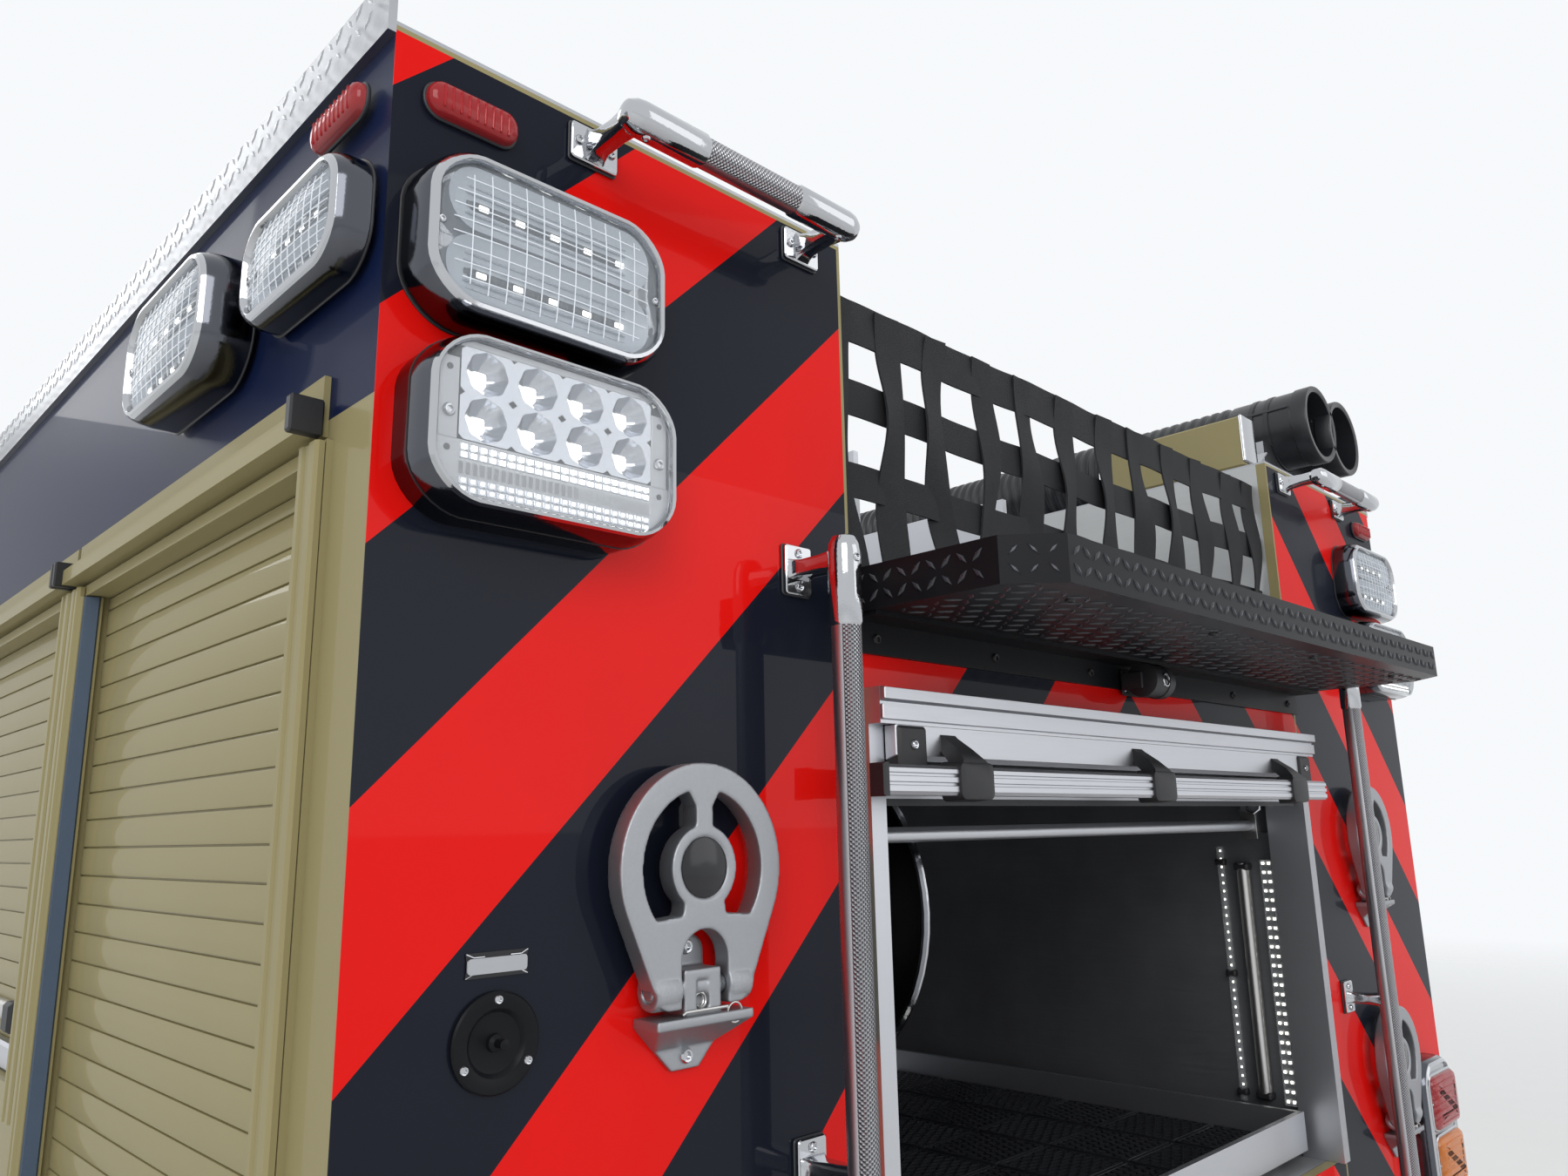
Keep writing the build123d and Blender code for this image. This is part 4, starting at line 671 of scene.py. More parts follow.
def trough(piece, v, floor, length, height, rise):
    # Long pale reflector with round ends, ribs along it and a row of dies, every third of them lit
    levels = ((0.0, rise), (0.1, rise * 0.5), (0.24, rise * 0.15), (0.42, 0.0))
    outline = roundRect(length, height, height * 0.49, 8)
    rings = [[(x, y + v, floor + level) for x, y in inset(outline, share * height)]
             for share, level in levels]
    made = piece.wear("paleReflector").skin(rings, capped=False)
    piece.face(made[-1])
    piece.wear("reflector")
    for up in (-0.27, -0.16, 0.16, 0.27):
        piece.slab(0, v + up * height, length * 0.4, 0.0008, floor + 0.0005, floor + 0.0035, 0.0004)
    for index in range(14):
        u = (index - 6.5) * (length - height * 0.7) / 14
        piece.wear("glossBlack" if index % 3 else "litChip")
        piece.slab(u, v, 0.0048, 0.0026, floor, floor + 0.0022, 0.0006)


def makeWarningLamp(name, place, depth, size=warningLamp["size"], colour="clearLens"):
    look = warningLamp
    shell = Piece(name, "chrome").at(place)
    lampBezel(shell, size, min(look["corner"], size[1] * 0.34), depth, look["rim"], look["recess"])
    inner = (size[0] - 2 * look["rim"], size[1] - 2 * look["rim"])
    for row in (0.5, -0.5):
        trough(shell, row * inner[1] * 0.46, depth - look["recess"], inner[0] * 0.9, inner[1] * 0.43, 0.012)
    gasket = bulged(roundRect(size[0] + 0.004, size[1] + 0.004, min(look["corner"], size[1] * 0.34), 8), size)
    shell.wear("frameBlack").prism(gasket, -0.0005, 0.002, 0.0008)
    shell.wear("chrome")
    for side in (1, -1):
        shell.screw(side * (inner[0] / 2 - 0.006), 0, depth - 0.006, 0.004)
    shell.done(replaces=["body_lamps"], slot="chrome")
    cover = Piece(name + "Lens", colour).at(place)
    clear = (inner[0] * 0.985, inner[1] * 0.97)
    lensSheet(cover, clear, depth - 0.006, 0.006)
    thicken(cover.done(replaces=["body_lamps"], slot="lamp_clear", smooth=60), 0.002)
    ribs = Piece(name + "Ribs", "lensRib").at(place)
    lensRibs(ribs, clear, depth - 0.006, 0.006, look["cells"][0], look["cells"][1])
    ribs.done(replaces=["body_lamps"], slot="lamp_clear", smooth=60)


def makeSceneLamp(name, place, depth):
    look = sceneLamp
    size = look["size"]
    shell = Piece(name, "chrome").at(place)
    lampBezel(shell, size, look["corner"], depth, look["rim"], look["recess"])
    gasket = bulged(roundRect(size[0] + 0.0015, size[1] + 0.0015, look["corner"], 8), size)
    shell.wear("frameBlack").prism(gasket, depth * 0.44, depth * 0.47)
    inner = (size[0] - 2 * look["rim"] - 0.004, size[1] - 2 * look["rim"] - 0.004)
    level = depth - 0.0075
    tile = look["tile"]
    for column in range(4):
        for v in (0.0415, 0.0005):
            podTile(shell, (column - 1.5) * tile[0], v, level, tile, 0.0205, 0.016)
    # plate round the cups: left, right, top and the lower half
    shell.wear("satinPlate")
    plate = bulged(roundRect(inner[0], inner[1], look["corner"] - 0.012, 8), inner)
    shell.prism([(x, min(y, -0.021)) for x, y in plate], depth - look["recess"], level, 0.0)
    for side in (1, -1):
        shell.block((side * 0.1, -0.022, depth - look["recess"]), (side * 0.118, 0.05, level), 0.0006)
        shell.wear("frameBlack")
        for v in (0.04, -0.03):
            shell.prism([(side * 0.109 + x, v + y) for x, y in roundRect(0.0055, 0.0055, 0.0026)], level,
                        level + 0.0006)
        shell.wear("chrome").screw(side * 0.1085, 0.002, level, 0.006)
        shell.wear("satinPlate")
    shell.block((-0.1, 0.061, depth - look["recess"]), (0.1, 0.068, level), 0.0006)
    pitch = 0.196 / look["leds"]
    # rows of lit dies: height, share of the size
    for v, share in ((-0.0265, 1.0), (-0.0335, 1.0), (-0.0555, 0.7), (-0.0625, 0.7)):
        for index in range(look["leds"]):
            u = (index - (look["leds"] - 1) / 2) * pitch
            shell.wear("litChip").slab(u, v, 0.0026 * share, 0.0021 * share, level, level + 0.0018, 0.0006)
            shell.wear("reflector").slab(u, v, 0.0042, 0.0033, level - 0.001, level + 0.0009, 0.0006)
    shell.wear("clearCover")
    for index in range(30):
        u = (index - 14.5) * 0.0066
        shell.block((u - 0.0029, -0.0505, level), (u + 0.0029, -0.0385, level + 0.0026), 0.001)
    shell.done(replaces=["body_lamps"], slot="chrome")
    cover = Piece(name + "Lens", "clearCover").at(place)
    lensSheet(cover, inner, depth - 0.005, 0.0035)
    thicken(cover.done(replaces=["body_lamps"], slot="lamp_clear", smooth=60), 0.002)


def makeMarker(name, place, size=(0.11, 0.038)):
    # Low oval marker: black base, ribbed red cover
    shell = Piece(name, "rubber").at(place)
    shell.prism(roundRect(size[0], size[1], size[1] * 0.47, 8), 0, 0.004, 0.001)
    shell.wear("redLens")
    shell.stepped(roundRect(size[0], size[1], size[1] * 0.47, 8),
                  ((0.002, 0.003), (0.0025, 0.009), (0.005, 0.0125), (0.01, 0.0145), (0.015, 0.015)))
    for index in range(-4, 5):
        u = index * size[0] * 0.085
        shell.slab(u, 0, 0.0012, size[1] * 0.3, 0.013, 0.0158, 0.0008)
    shell.done(replaces=["body_lamps"], slot="lamp_red")


def thicken(made, thickness, offset=-1):
    solid = made.modifiers.new("thickness", "SOLIDIFY")
    solid.thickness = thickness
    solid.offset = offset


# places on the rear face: across, up and how far each lamp stands out
rearLamps = {"upper": (1.075, 2.093, 0.048), "scene": (1.072, 1.918, 0.06), "marker": (1.145, 2.232)}
markerX, markerZ = rearLamps["marker"]
for side, hand in hands:
    across, up, depth = rearLamps["upper"]
    makeWarningLamp("lampUpper_" + hand, onRear(side * across, up), depth)
    across, up, depth = rearLamps["scene"]
    makeSceneLamp("lampScene_" + hand, onRear(side * across, up), depth)
    makeMarker("markerRear_" + hand, onRear(side * markerX, markerZ), (0.096, 0.038))
    # centre along the body and up, size, depth
    for name, along, up, size, depth in (
        ("Rear", -0.125, 2.115, (0.23, 0.12), 0.034),
        ("Middle", -0.415, 2.112, (0.27, 0.15), 0.054),
        ("Front", -2.7, 2.112, (0.27, 0.15), 0.054),
    ):
        makeWarningLamp("lampSide" + name + "_" + hand, onSide(side, rearY + along, up), depth, size)
    for name, along in (("Rear", -0.085), ("Front", -2.9)):
        makeMarker("markerSide" + name + "_" + hand, onSide(side, rearY + along, markerZ))

tailLamp = {"x": 1.072, "z": 0.905, "size": (0.17, 0.39), "depth": 0.04, "cell": (0.14, 0.1)}
depth = tailLamp["depth"]
for side, hand in hands:
    stack = Piece("tailLamp_" + hand, "chrome").at(onRear(side * tailLamp["x"], tailLamp["z"]))
    lampBezel(stack, tailLamp["size"], 0.04, depth, 0.012, 0.004)
    # lens colour and its height over the middle
    for colour, up in (("redLens", 0.113), ("amberLens", 0.0), ("clearLens", -0.113)):
        width, height = tailLamp["cell"]
        stack.wear("chrome")
        outline = roundRect(width + 0.008, height + 0.008, 0.02, 5)
        stack.prism([(x, y + up) for x, y in outline], depth - 0.006, depth + 0.002, 0.002)
        stack.wear(colour)
        rings = []
        for reach, level in ((0, 0.0), (0.001, 0.005), (0.005, 0.0095), (0.014, 0.0115), (0.03, 0.012)):
            rings.append([(x, y + up, depth + level)
                          for x, y in inset(roundRect(width, height, 0.017, 5), reach)])
        stack.skin(rings)
        for row in range(-3, 4):
            v = up + row * height / 8
            stack.slab(0, v, width * 0.36, 0.0016, depth + 0.0112, depth + 0.0128, 0.0008)
        stack.wear("chrome").screw(width / 2 - 0.004, up, depth + 0.002, 0.004)
        stack.screw(-width / 2 + 0.004, up, depth + 0.002, 0.004)
    stack.done(replaces=["tail_lamps"], slot="lamp_red")
print("lamps made")


# Grab rails: knurled tubes with polished ends on cast stanchions

def stanchion(piece, place, radius, reach):
    home = piece.place
    piece.place = place
    piece.wear("rubber").prism(roundRect(0.044, 0.058, 0.004), 0.0, 0.003, 0.001)
    piece.wear("chrome").prism(roundRect(0.04, 0.056, 0.004), 0.003, 0.0075, 0.0012)
    steps = ((0.036, 0.022, 0.003, 0.0075), (0.03, 0.02, 0.003, 0.0115), (0.025, 0.019, 0.005, 0.02),
             (0.023, 0.021, 0.007, reach * 0.6), (0.025, 0.026, 0.008, reach - radius * 0.4))
    piece.skin([[(x, y, level) for x, y in roundRect(wide, tall, corner)]
                for wide, tall, corner, level in steps])
    for v in (0.019, -0.019):
        piece.screw(0, v, 0.0075, 0.0056)
    piece.place = home


def bentRail(piece, start, end, radius):
    # Middle knurled, ends polished and rounded over
    run = (end - start).normalized()
    length = (end - start).length
    turn = run.to_track_quat("Z", "Y").to_matrix().to_4x4()
    piece.place = Matrix.Translation(start) @ turn
    cap = 0.1
    piece.wear("chrome")
    for near, far in ((0.0, cap), (length, length - cap)):
        sign = 1 if far > near else -1
        piece.lathe([(radius * 0.35, near), (radius * 0.8, near + sign * 0.003),
                     (radius * 1.05, near + sign * 0.011), (radius * 1.14, near + sign * 0.02),
                     (radius * 1.14, far - sign * 0.004), (radius, far)], 20)
    for along in (0.028, length - 0.028):
        piece.place = Matrix.Translation(start) @ turn @ flat(0, 0, along) @ spun(pi / 2, "X")
        piece.wear("chrome").screw(0, 0, -radius * 1.14 - 0.001, 0.005)
        piece.screw(0, 0, radius * 1.14 - 0.001, 0.005)
    piece.place = Matrix.Translation(start) @ turn
    piece.wear("knurled").lathe([(radius, cap - 0.002), (radius, length / 2), (radius, length - cap + 0.002)],
        28)


for side, hand in hands:
    rails = Piece("grabRails_" + hand, "chrome")
    across, out = side * rail["x"], rearY + rail["out"]
    bentRail(rails, Vector((across, out, rail["low"])), Vector((across, out, rail["high"])), rail["radius"])
    for up in rail["feet"]:
        stanchion(rails, onRear(across, up), rail["radius"], rail["out"])
    bentRail(rails, Vector((side * rail["topInner"], out, rail["topZ"])),
             Vector((side * rail["topOuter"], out, rail["topZ"])), rail["radius"])
    for across in rail["topFeet"]:
        stanchion(rails, onRear(side * across, rail["topZ"]) @ spun(pi / 2, "Z"), rail["radius"], rail["out"])
    rails.done(replaces=["grab_rails"], slot="steel")
print("rails made")


# Tread plate: lozenges raised on a plane, in alternate directions

def lozenges(piece, width, height, pitch, long=0.46, wide=0.15, rise=0.002):
    columns, rows = int(width / pitch), int(height / pitch)
    for row in range(rows):
        for column in range(columns):
            u = (column + 0.5 - columns / 2) * pitch
            v = (row + 0.5 - rows / 2) * pitch
            turn = pi / 4 if (row + column) % 2 else -pi / 4
            ahead = Vector((cos(turn), sin(turn))) * pitch * long
            aside = Vector((-sin(turn), cos(turn))) * pitch * wide
            ends = [Vector((u, v)) + ahead, Vector((u, v)) + aside, Vector((u, v)) - ahead,
                    Vector((u, v)) - aside]
            tops = [Vector((u, v)) + ahead * 0.62, Vector((u, v)) + aside * 0.45,
                    Vector((u, v)) - ahead * 0.62, Vector((u, v)) - aside * 0.45]
            piece.skin([[(*end, 0) for end in ends], [(*top, rise) for top in tops]])


upperStep = {"top": 1.872, "lip": 0.052, "half": 0.65, "depth": 0.268, "corner": 0.05, "pitch": 0.0205,
             "underPitch": 0.0235}
stepTop, lip, stepHalf = upperStep["top"], upperStep["lip"], upperStep["half"]
stepDepth, stepCorner, pitch = upperStep["depth"], upperStep["corner"], upperStep["pitch"]
lipMiddle = stepTop - lip / 2
# the lozenges are lighter than the black step, as painted highlight on their edges
treads = Piece("upperStepTread", "blackTread")
treads.at(onRear(0, lipMiddle, stepDepth))
lozenges(treads, 2 * (stepHalf - stepCorner), lip, pitch)
for side in (1, -1):
    treads.at(onSide(side, rearY + 0.108, lipMiddle, stepHalf - sideX))
    lozenges(treads, 0.2, lip, pitch)
    # chamfered corner between the side and the front lip
    across = Vector((-side * stepCorner, 0.052, 0)).normalized()
    out = Vector((side * 0.052, stepCorner, 0)).normalized()
    corner = Vector((side * (stepHalf - stepCorner / 2), rearY + stepDepth - 0.026, lipMiddle))
    treads.at(Matrix(((across.x, 0, out.x, corner.x), (across.y, 0, out.y, corner.y), (0, 1, 0, corner.z),
                      (0, 0, 0, 1))))
    lozenges(treads, 0.07, lip, pitch)
treads.at(flat(0, rearY + 0.125, stepTop))
lozenges(treads, 1.26, 0.24, 0.034)
under = flat(0, rearY + 0.148, stepTop - lip) @ Matrix.Diagonal((1, 1, -1, 1))
treads.at(under)
lozenges(treads, 1.27, 0.19, upperStep["underPitch"], rise=0.0016)
treads.wear("blackPlastic")
for u in (-0.52, -0.17, 0.17, 0.52):
    treads.screw(u, 0.07, 0, 0.006)
treads.at(onRear(0, stepTop - lip - 0.024, 0.005))
for u in (-0.6, -0.36, -0.12, 0.12, 0.36, 0.6):
    treads.screw(u, 0, 0, 0.0065)
treads.done(slot="tread_plate")


def softened(node, finish, body, voxel, passes):
    # The part's own shape with its edges rounded over, as a casting's are
    data = nodes[node].data.copy()
    data.name = node + "Cast"
    data.transform(nodes[node].matrix_world)
    dressed(data, finish)
    made = added(node + "Cast", data)
    remesh = made.modifiers.new("remesh", "REMESH")
    remesh.mode = "VOXEL"
    remesh.voxel_size = voxel
    remesh.use_smooth_shade = True
    rounding = made.modifiers.new("rounding", "SMOOTH")
    rounding.factor = 0.5
    rounding.iterations = passes
    lighter = made.modifiers.new("lighter", "DECIMATE")
    lighter.ratio = 0.3
    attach(made, body)
    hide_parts(node)


# Folding steps: bare disc in the boss, screws, spring and cotter pin in the foot
foldingStep = {"ring": 0.106, "face": 0.036, "cup": 0.0275, "arm": 0.043, "x": 0.893,
               "levels": (("upper", 1.44), ("lower", 1.014))}
for level, up in foldingStep["levels"]:
    for side, hand in hands:
        across, cup = side * foldingStep["x"], foldingStep["cup"]
        softened("folding_step_" + level + "_" + hand, "castAlloy", "step_" + level + "_" + hand,
                 0.0016, 9)
        disc = Piece("stepDisc_" + level + "_" + hand, "glossBlack")
        disc.at(onRear(across, up + foldingStep["ring"], foldingStep["face"]))
        disc.lathe([(cup, -0.0035), (cup, -0.0012), (cup * 0.9, 0), (0.004, 0.0004)], 32)
        disc.wear("roughCast")
        for arm in (1, -1):
            disc.at(onRear(across + arm * foldingStep["arm"], up, 0.022) @ spun(pi / 2, "Y"))
            disc.lathe([(0.0168, -0.012), (0.0176, -0.009), (0.0176, 0.009), (0.0168, 0.012)], 20)
        disc.done("step_" + level + "_" + hand, slot="cast")
        foot = Piece("stepFoot_" + level + "_" + hand, "chrome").at(onRear(across, up))
        foot.screw(0, 0.034, 0.006, 0.0075)
        foot.screw(0, -0.062, 0.006, 0.0075)
        turns = [(0.0066 * cos(turn), -0.012 + 0.0066 * sin(turn), 0.016 + 0.013 * turn / (8 * pi))
                 for turn in (step * pi / 6 for step in range(48))]
        foot.wear("brushedSteel").tube(turns, 0.0011, 6)
        foot.tube([(-0.028, -0.02, 0.033), (0.022, -0.02, 0.033), (0.026, -0.022, 0.033)], 0.0016, 8)
        ring = [(-0.036 + 0.009 * cos(turn), -0.026 + 0.009 * sin(turn), 0.034)
                for turn in (step * pi / 8 for step in range(16))]
        foot.tube(ring, 0.0011, 6)
        foot.done(slot="steel")

softened("step_feet", "castAlloy", "chassis", 0.0016, 3)

# Camera under the upper step and the switch beside the opening
cameraZ = stepTop - lip - 0.005 - 0.0003 - 0.026
drum = Piece("rearCamera", "blackPlastic").at(flat(0.004, rearY + 0.04, cameraZ) @ spun(pi / 2, "Y"))
drum.lathe([(0.018, -0.031), (0.0255, -0.029), (0.026, -0.012), (0.0245, -0.0115), (0.0245, 0.0115),
            (0.026, 0.012), (0.0255, 0.029), (0.018, 0.031)], 28)
drum.at(onRear(0.004, cameraZ, 0.053))
drum.wear("chrome").lathe([(0.0105, 0.006), (0.0105, 0.0125), (0.009, 0.0128), (0.0085, 0.011)], 20)
drum.wear("glossBlack").lathe([(0.0083, 0.01), (0.007, 0.0118), (0.003, 0.0127), (0.0004, 0.0128)], 20)
drum.at(onRear(0.004, cameraZ))
drum.wear("blackPlastic").slab(0, 0, 0.03, 0.02, 0.0053, 0.0085, 0.001, 0.004)
drum.block((-0.035, -0.013, 0.0085), (-0.028, 0.013, 0.044), 0.002)
drum.block((0.028, -0.013, 0.0085), (0.035, 0.013, 0.044), 0.002)
for u in (-0.022, 0.022):
    for v in (-0.013, 0.013):
        drum.wear("chrome").screw(u, v, 0.0085, 0.003)
drum.done(replaces=["rear_fittings"], slot="black_plastic")

# Switch: black flange with a deep cup and a toggle, three screws, and a blank plate in its spring holder
switch = Piece("stepSwitch", "blackPaint").at(onRear(1.089, 1.415))
switch.lathe([(0.04, 0), (0.04, 0.0035), (0.0385, 0.005), (0.0275, 0.0055), (0.0265, 0.0048),
              (0.0235, 0.0012), (0.02, 0.0006), (0.0075, 0.0006), (0.0068, 0.004), (0.0035, 0.006),
              (0.003, 0.013), (0.0042, 0.0155), (0.0042, 0.0172), (0.0025, 0.018)], 40)
switch.wear("chrome")
for turn in (90, 210, 330):
    switch.screw(0.0335 * cos(radians(turn)), 0.0335 * sin(radians(turn)), 0.005, 0.0042)
switch.wear("glossBlack").prism([(-0.029, 0.051), (0.029, 0.051), (0.0275, 0.061), (0.029, 0.071),
        (-0.029, 0.071), (-0.0275, 0.061)], 0, 0.0012)
switch.wear("chrome")
for side in (1, -1):
    for v in (0.0545, 0.0675):
        switch.tube([(side * 0.0285, v + (0.003 if v > 0.06 else -0.003), 0.0014), (side * 0.022, v, 0.002),
                     (side * 0.012, v, 0.0018)], 0.0006, 6)
switch.wear("satinPlate").skin([[(x, 0.0605 + y, level) for x, y in roundRect(wide, 0.0125, 0.003)]
        for wide, level in ((0.055, 0.0012), (0.056, 0.0022), (0.055, 0.003))])
switch.done(replaces=["rear_fittings"], slot="black_plastic")
print("rear fittings made")


# Webbing net over the end of the hose bed: a wide top band, two cross straps and wavy uprights

net = {"out": -0.034, "top": 2.248, "low": 1.834, "width": 0.05, "thick": 0.003, "length": 1.27,
       "bands": ((2.22, 0.058), (2.115, 0.048), (2.005, 0.045)), "uprights": (0.611, 0.516, 0.41, 0.303,
           0.197, 0.078, -0.047, -0.147, -0.266, -0.38, -0.509, -0.606)}


def strap(piece, centre, across, width, thick, steps=28, folds=2):
    # centre(t) runs along the strap, across(t) is its width direction, t from 0 to 1
    rings = []
    for step in range(steps + 1):
        t = step / steps
        middle, wide = centre(t), across(t).normalized() * width / 2
        run = centre(min(1, t + 0.01)) - centre(max(0, t - 0.01))
        out = wide.cross(run).normalized() * thick / 2
        ring = []
        for k in range(folds + 1):
            ring.append(middle - wide + wide * 2 * k / folds + out)
        for k in range(folds, -1, -1):
            ring.append(middle - wide + wide * 2 * k / folds - out)
        rings.append(ring)
    piece.skin(rings)


webbing = Piece("hoseNet", "webbing")
for level, width in net["bands"]:
    sag = 0 if level > 2.2 else 0.004

    def crossStrap(t, level=level, sag=sag):
        return Vector(((t - 0.5) * net["length"], rearY + net["out"] + 0.001 * sin(t * 61),
                       level - sag * sin(pi * t) + 0.0015 * sin(t * 23)))

    strap(webbing, crossStrap, lambda t: Vector((0, 0, 1)), width, net["thick"], 60)
for index, across in enumerate(net["uprights"]):
    luck = Random(index)
    drift, phase = luck.uniform(-0.012, 0.014), luck.uniform(0, 6)

    def upright(t, across=across, drift=drift, phase=phase):
        weave = 0.0042 * (1 if int(t * 4) % 2 else -1) * sin(pi * ((t * 4) % 1))
        return Vector((across + drift * sin(pi * t * 1.5) + 0.007 * sin(phase + t * 6) * t,
                       rearY + net["out"] + weave + 0.0052,
                       net["top"] - 0.002 - t * (net["top"] - net["low"])))

    def twist(t, phase=phase):
        return Vector((1, 0.28 * sin(phase + t * 8) * sin(pi * t), 0.06 * sin(phase * 2 + t * 7)))

    strap(webbing, upright, twist, net["width"] * (0.94 + 0.06 * cos(index)), net["thick"], 32)
made = webbing.done(replaces=["hose_net"], slot="webbing", smooth=70)
netArea = len(net["uprights"]) * net["width"] * (net["top"] - net["low"])
netArea += net["length"] * sum(width for level, width in net["bands"])

# Hard suction hoses: ribbed black shells with smooth cuffs, clamps and a moulded seam
hose = {"z": 2.458, "radius": 0.0898, "bore": 0.076, "length": 2.44, "cuff": 0.18, "pitch": 0.026}
radius, bore, cuff, far = hose["radius"], hose["bore"], hose["cuff"], hose["length"]
for index, across in enumerate((-0.984, -1.128)):
    shell = Piece("hardSuction_" + str(index + 1), "hosePlastic")
    shell.at(flat(across, rearY + 0.003, hose["z"]) @ spun(pi / 2, "X"))
    profile = [(bore, 0.22), (bore, 0.002), (bore + 0.003, 0), (radius - 0.002, 0), (radius, 0.003),
               (radius, 0.034), (radius - 0.003, 0.037), (radius - 0.003, cuff - 0.004),
               (radius - 0.006, cuff)]
    rib = cuff + 0.01
    while rib < far - cuff - 0.02:
        profile += [(radius - 0.008, rib), (radius - 0.001, rib + 0.006), (radius - 0.001, rib + 0.014),
                    (radius - 0.008, rib + 0.02)]
        rib += hose["pitch"]
    profile += [(radius - 0.006, far - cuff), (radius - 0.003, far - cuff + 0.004),
                (radius - 0.003, far - 0.037), (radius, far - 0.034), (radius, far - 0.003),
                (radius - 0.002, far), (bore, far), (bore, far - 0.22)]
    shell.lathe(profile, 40, True)
    for along in (0.09, 0.125, far - 0.09, far - 0.125):
        shell.lathe([(radius - 0.0032, along - 0.006), (radius - 0.001, along - 0.005),
                     (radius - 0.001, along + 0.005), (radius - 0.0032, along + 0.006)], 40, True)
    for turn in (0.4, 0.4 + pi):
        home = shell.place
        shell.place = home @ spun(turn, "Z")
        shell.block((radius - 0.008, -0.004, 0.04), (radius - 0.0005, 0.004, 0.17), 0.002)
        shell.place = home
    shell.done(replaces=["hard_suctions"], slot="rubber")
print("net and hoses made")


# Wheels: carcass with a curved sidewall, tread blocks, a pressed disc with hand holes, hub and nuts

wheel = {"axleZ": 0.4035, "radius": 0.4035, "blocks": 44, "treadDepth": 0.013}


def tyreProfile():
    # radius and distance from the tyre's middle, from bead to bead over the tread
    side = [(0.262, 0.079), (0.268, 0.092), (0.285, 0.101), (0.31, 0.109), (0.335, 0.1125), (0.356, 0.1115),
            (0.372, 0.107), (0.3835, 0.1), (0.389, 0.092), (0.3905, 0.05), (0.3905, 0.0)]
    return side + [(radius, -out) for radius, out in reversed(side[:-1])]


def makeTyre(name, centreX, centreY):
    tyre = Piece(name, "tyreRubber")
    middle = flat(centreX, centreY, wheel["axleZ"]) @ spun(pi / 2, "Y")
    tyre.at(middle)
    tyre.lathe(tyreProfile() + [(0.25, -0.07), (0.25, 0.07)], 72, True)
    for ring, out in ((0.298, 0.1062), (0.362, 0.1105)):
        for side in (1, -1):
            tyre.lathe([(ring - 0.004, side * (out - 0.004)), (ring - 0.002, side * (out + 0.0012)),
                        (ring + 0.002, side * (out + 0.0012)), (ring + 0.004, side * (out - 0.004))], 72,
                       True)
    step = 2 * pi / wheel["blocks"]
    base, top = wheel["radius"] - wheel["treadDepth"] - 0.001, wheel["radius"] - 0.0004
    # rows of tread: near edge, far edge, angle offset, sipe lean
    rows = ((0.07, 0.108, 0.0, 0.12), (0.026, 0.062, 0.5, -0.1), (-0.018, 0.018, 0.0, 0.1),
            (-0.062, -0.026, 0.5, -0.1), (-0.108, -0.07, 0.0, 0.12))
    for near, far, offset, lean in rows:
        for block in range(wheel["blocks"]):
            angle = (block + offset) * step
            corners = []
            for out, turn in ((near, 0.1), (near, 0.86), (far, 0.9), (far, 0.14)):
                swing = angle + step * (turn + lean * (out - near) / 0.038)
                drop = 0.004 if abs(out) > 0.1 else 0.0
                corners.append((out, swing, drop))
            low = [(base * cos(swing), base * sin(swing), out) for out, swing, drop in corners]
            high = [((top - drop) * cos(swing), (top - drop) * sin(swing), out * 0.985)
                    for out, swing, drop in corners]
            tyre.skin([low, high])
    # shoulder lugs reach down the sidewall
    for side in (1, -1):
        for block in range(wheel["blocks"]):
            start, end = (block + 0.3) * step, (block + 0.7) * step
            low = [(r * cos(a), r * sin(a), side * w) for r, w, a in ((0.368, 0.106, start),
                       (0.368, 0.106, end), (0.386, 0.094, end), (0.386, 0.094, start))]
            high = [(r * cos(a), r * sin(a), side * w) for r, w, a in ((0.368, 0.1105, start),
                        (0.368, 0.1105, end), (0.392, 0.101, end), (0.392, 0.101, start))]
            tyre.skin([low, high])
    return tyre


for side, hand in hands:
    tyre = makeTyre("tyreFront_" + hand, side * 0.95, frontAxleY)
    tyre.done("wheel_front_" + hand, ["tyre_front_" + hand], "tyre", 32)
    for pair, centre in (("Outer", 1.071), ("Inner", 0.809)):
        tyre = makeTyre("tyreRear" + pair + "_" + hand, side * centre, rearAxleY)
        tyre.done("wheel_rear_" + hand, ["tyre_rear_" + hand], "tyre", 32)
print("tyres made")


# Rear opening: header, rolled shutter, lift bar on its hooks and the brackets that carry the roll

opening = {"half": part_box("tray")[1].x + 0.025, "top": 1.737, "bar": 1.63, "hooks": (-0.446, 0.047, 0.505)}
halfWay = opening["half"]
header = Piece("shutterHeader", "anodised").at(facing(1, 0, rearY, 0))
# sections as out and up, how far each runs past the opening
for section, past in (
    ([(0.0305, 1.699), (0.0345, 1.7), (0.0345, 1.7165), (0.0305, 1.7165)], 0.0255),
    ([(0.0302, 1.72), (0.038, 1.7225), (0.038, 1.735), (0.0302, 1.737)], 0.0255),
    ([(0.013, 1.655), (0.03, 1.66), (0.03, 1.6945), (0.013, 1.6945)], 0.0),
):
    header.prism(section, -halfWay - past, halfWay + past, 0.001)
header.wear("rubber").prism([(0.0, 1.6945), (0.022, 1.6945), (0.022, 1.6995), (0.0, 1.6995)], -halfWay,
    halfWay)
header.wear("blackPlastic")
for side in (1, -1):
    header.at(onRear(side * (halfWay - 0.028), 1.668))
    header.block((-0.026, -0.03, -0.01), (0.026, 0.026, 0.034), 0.004)
    header.wear("chrome").screw(0, 0.004, 0.034, 0.006)
    header.wear("blackPlastic")
header.done(slot="aluminium")

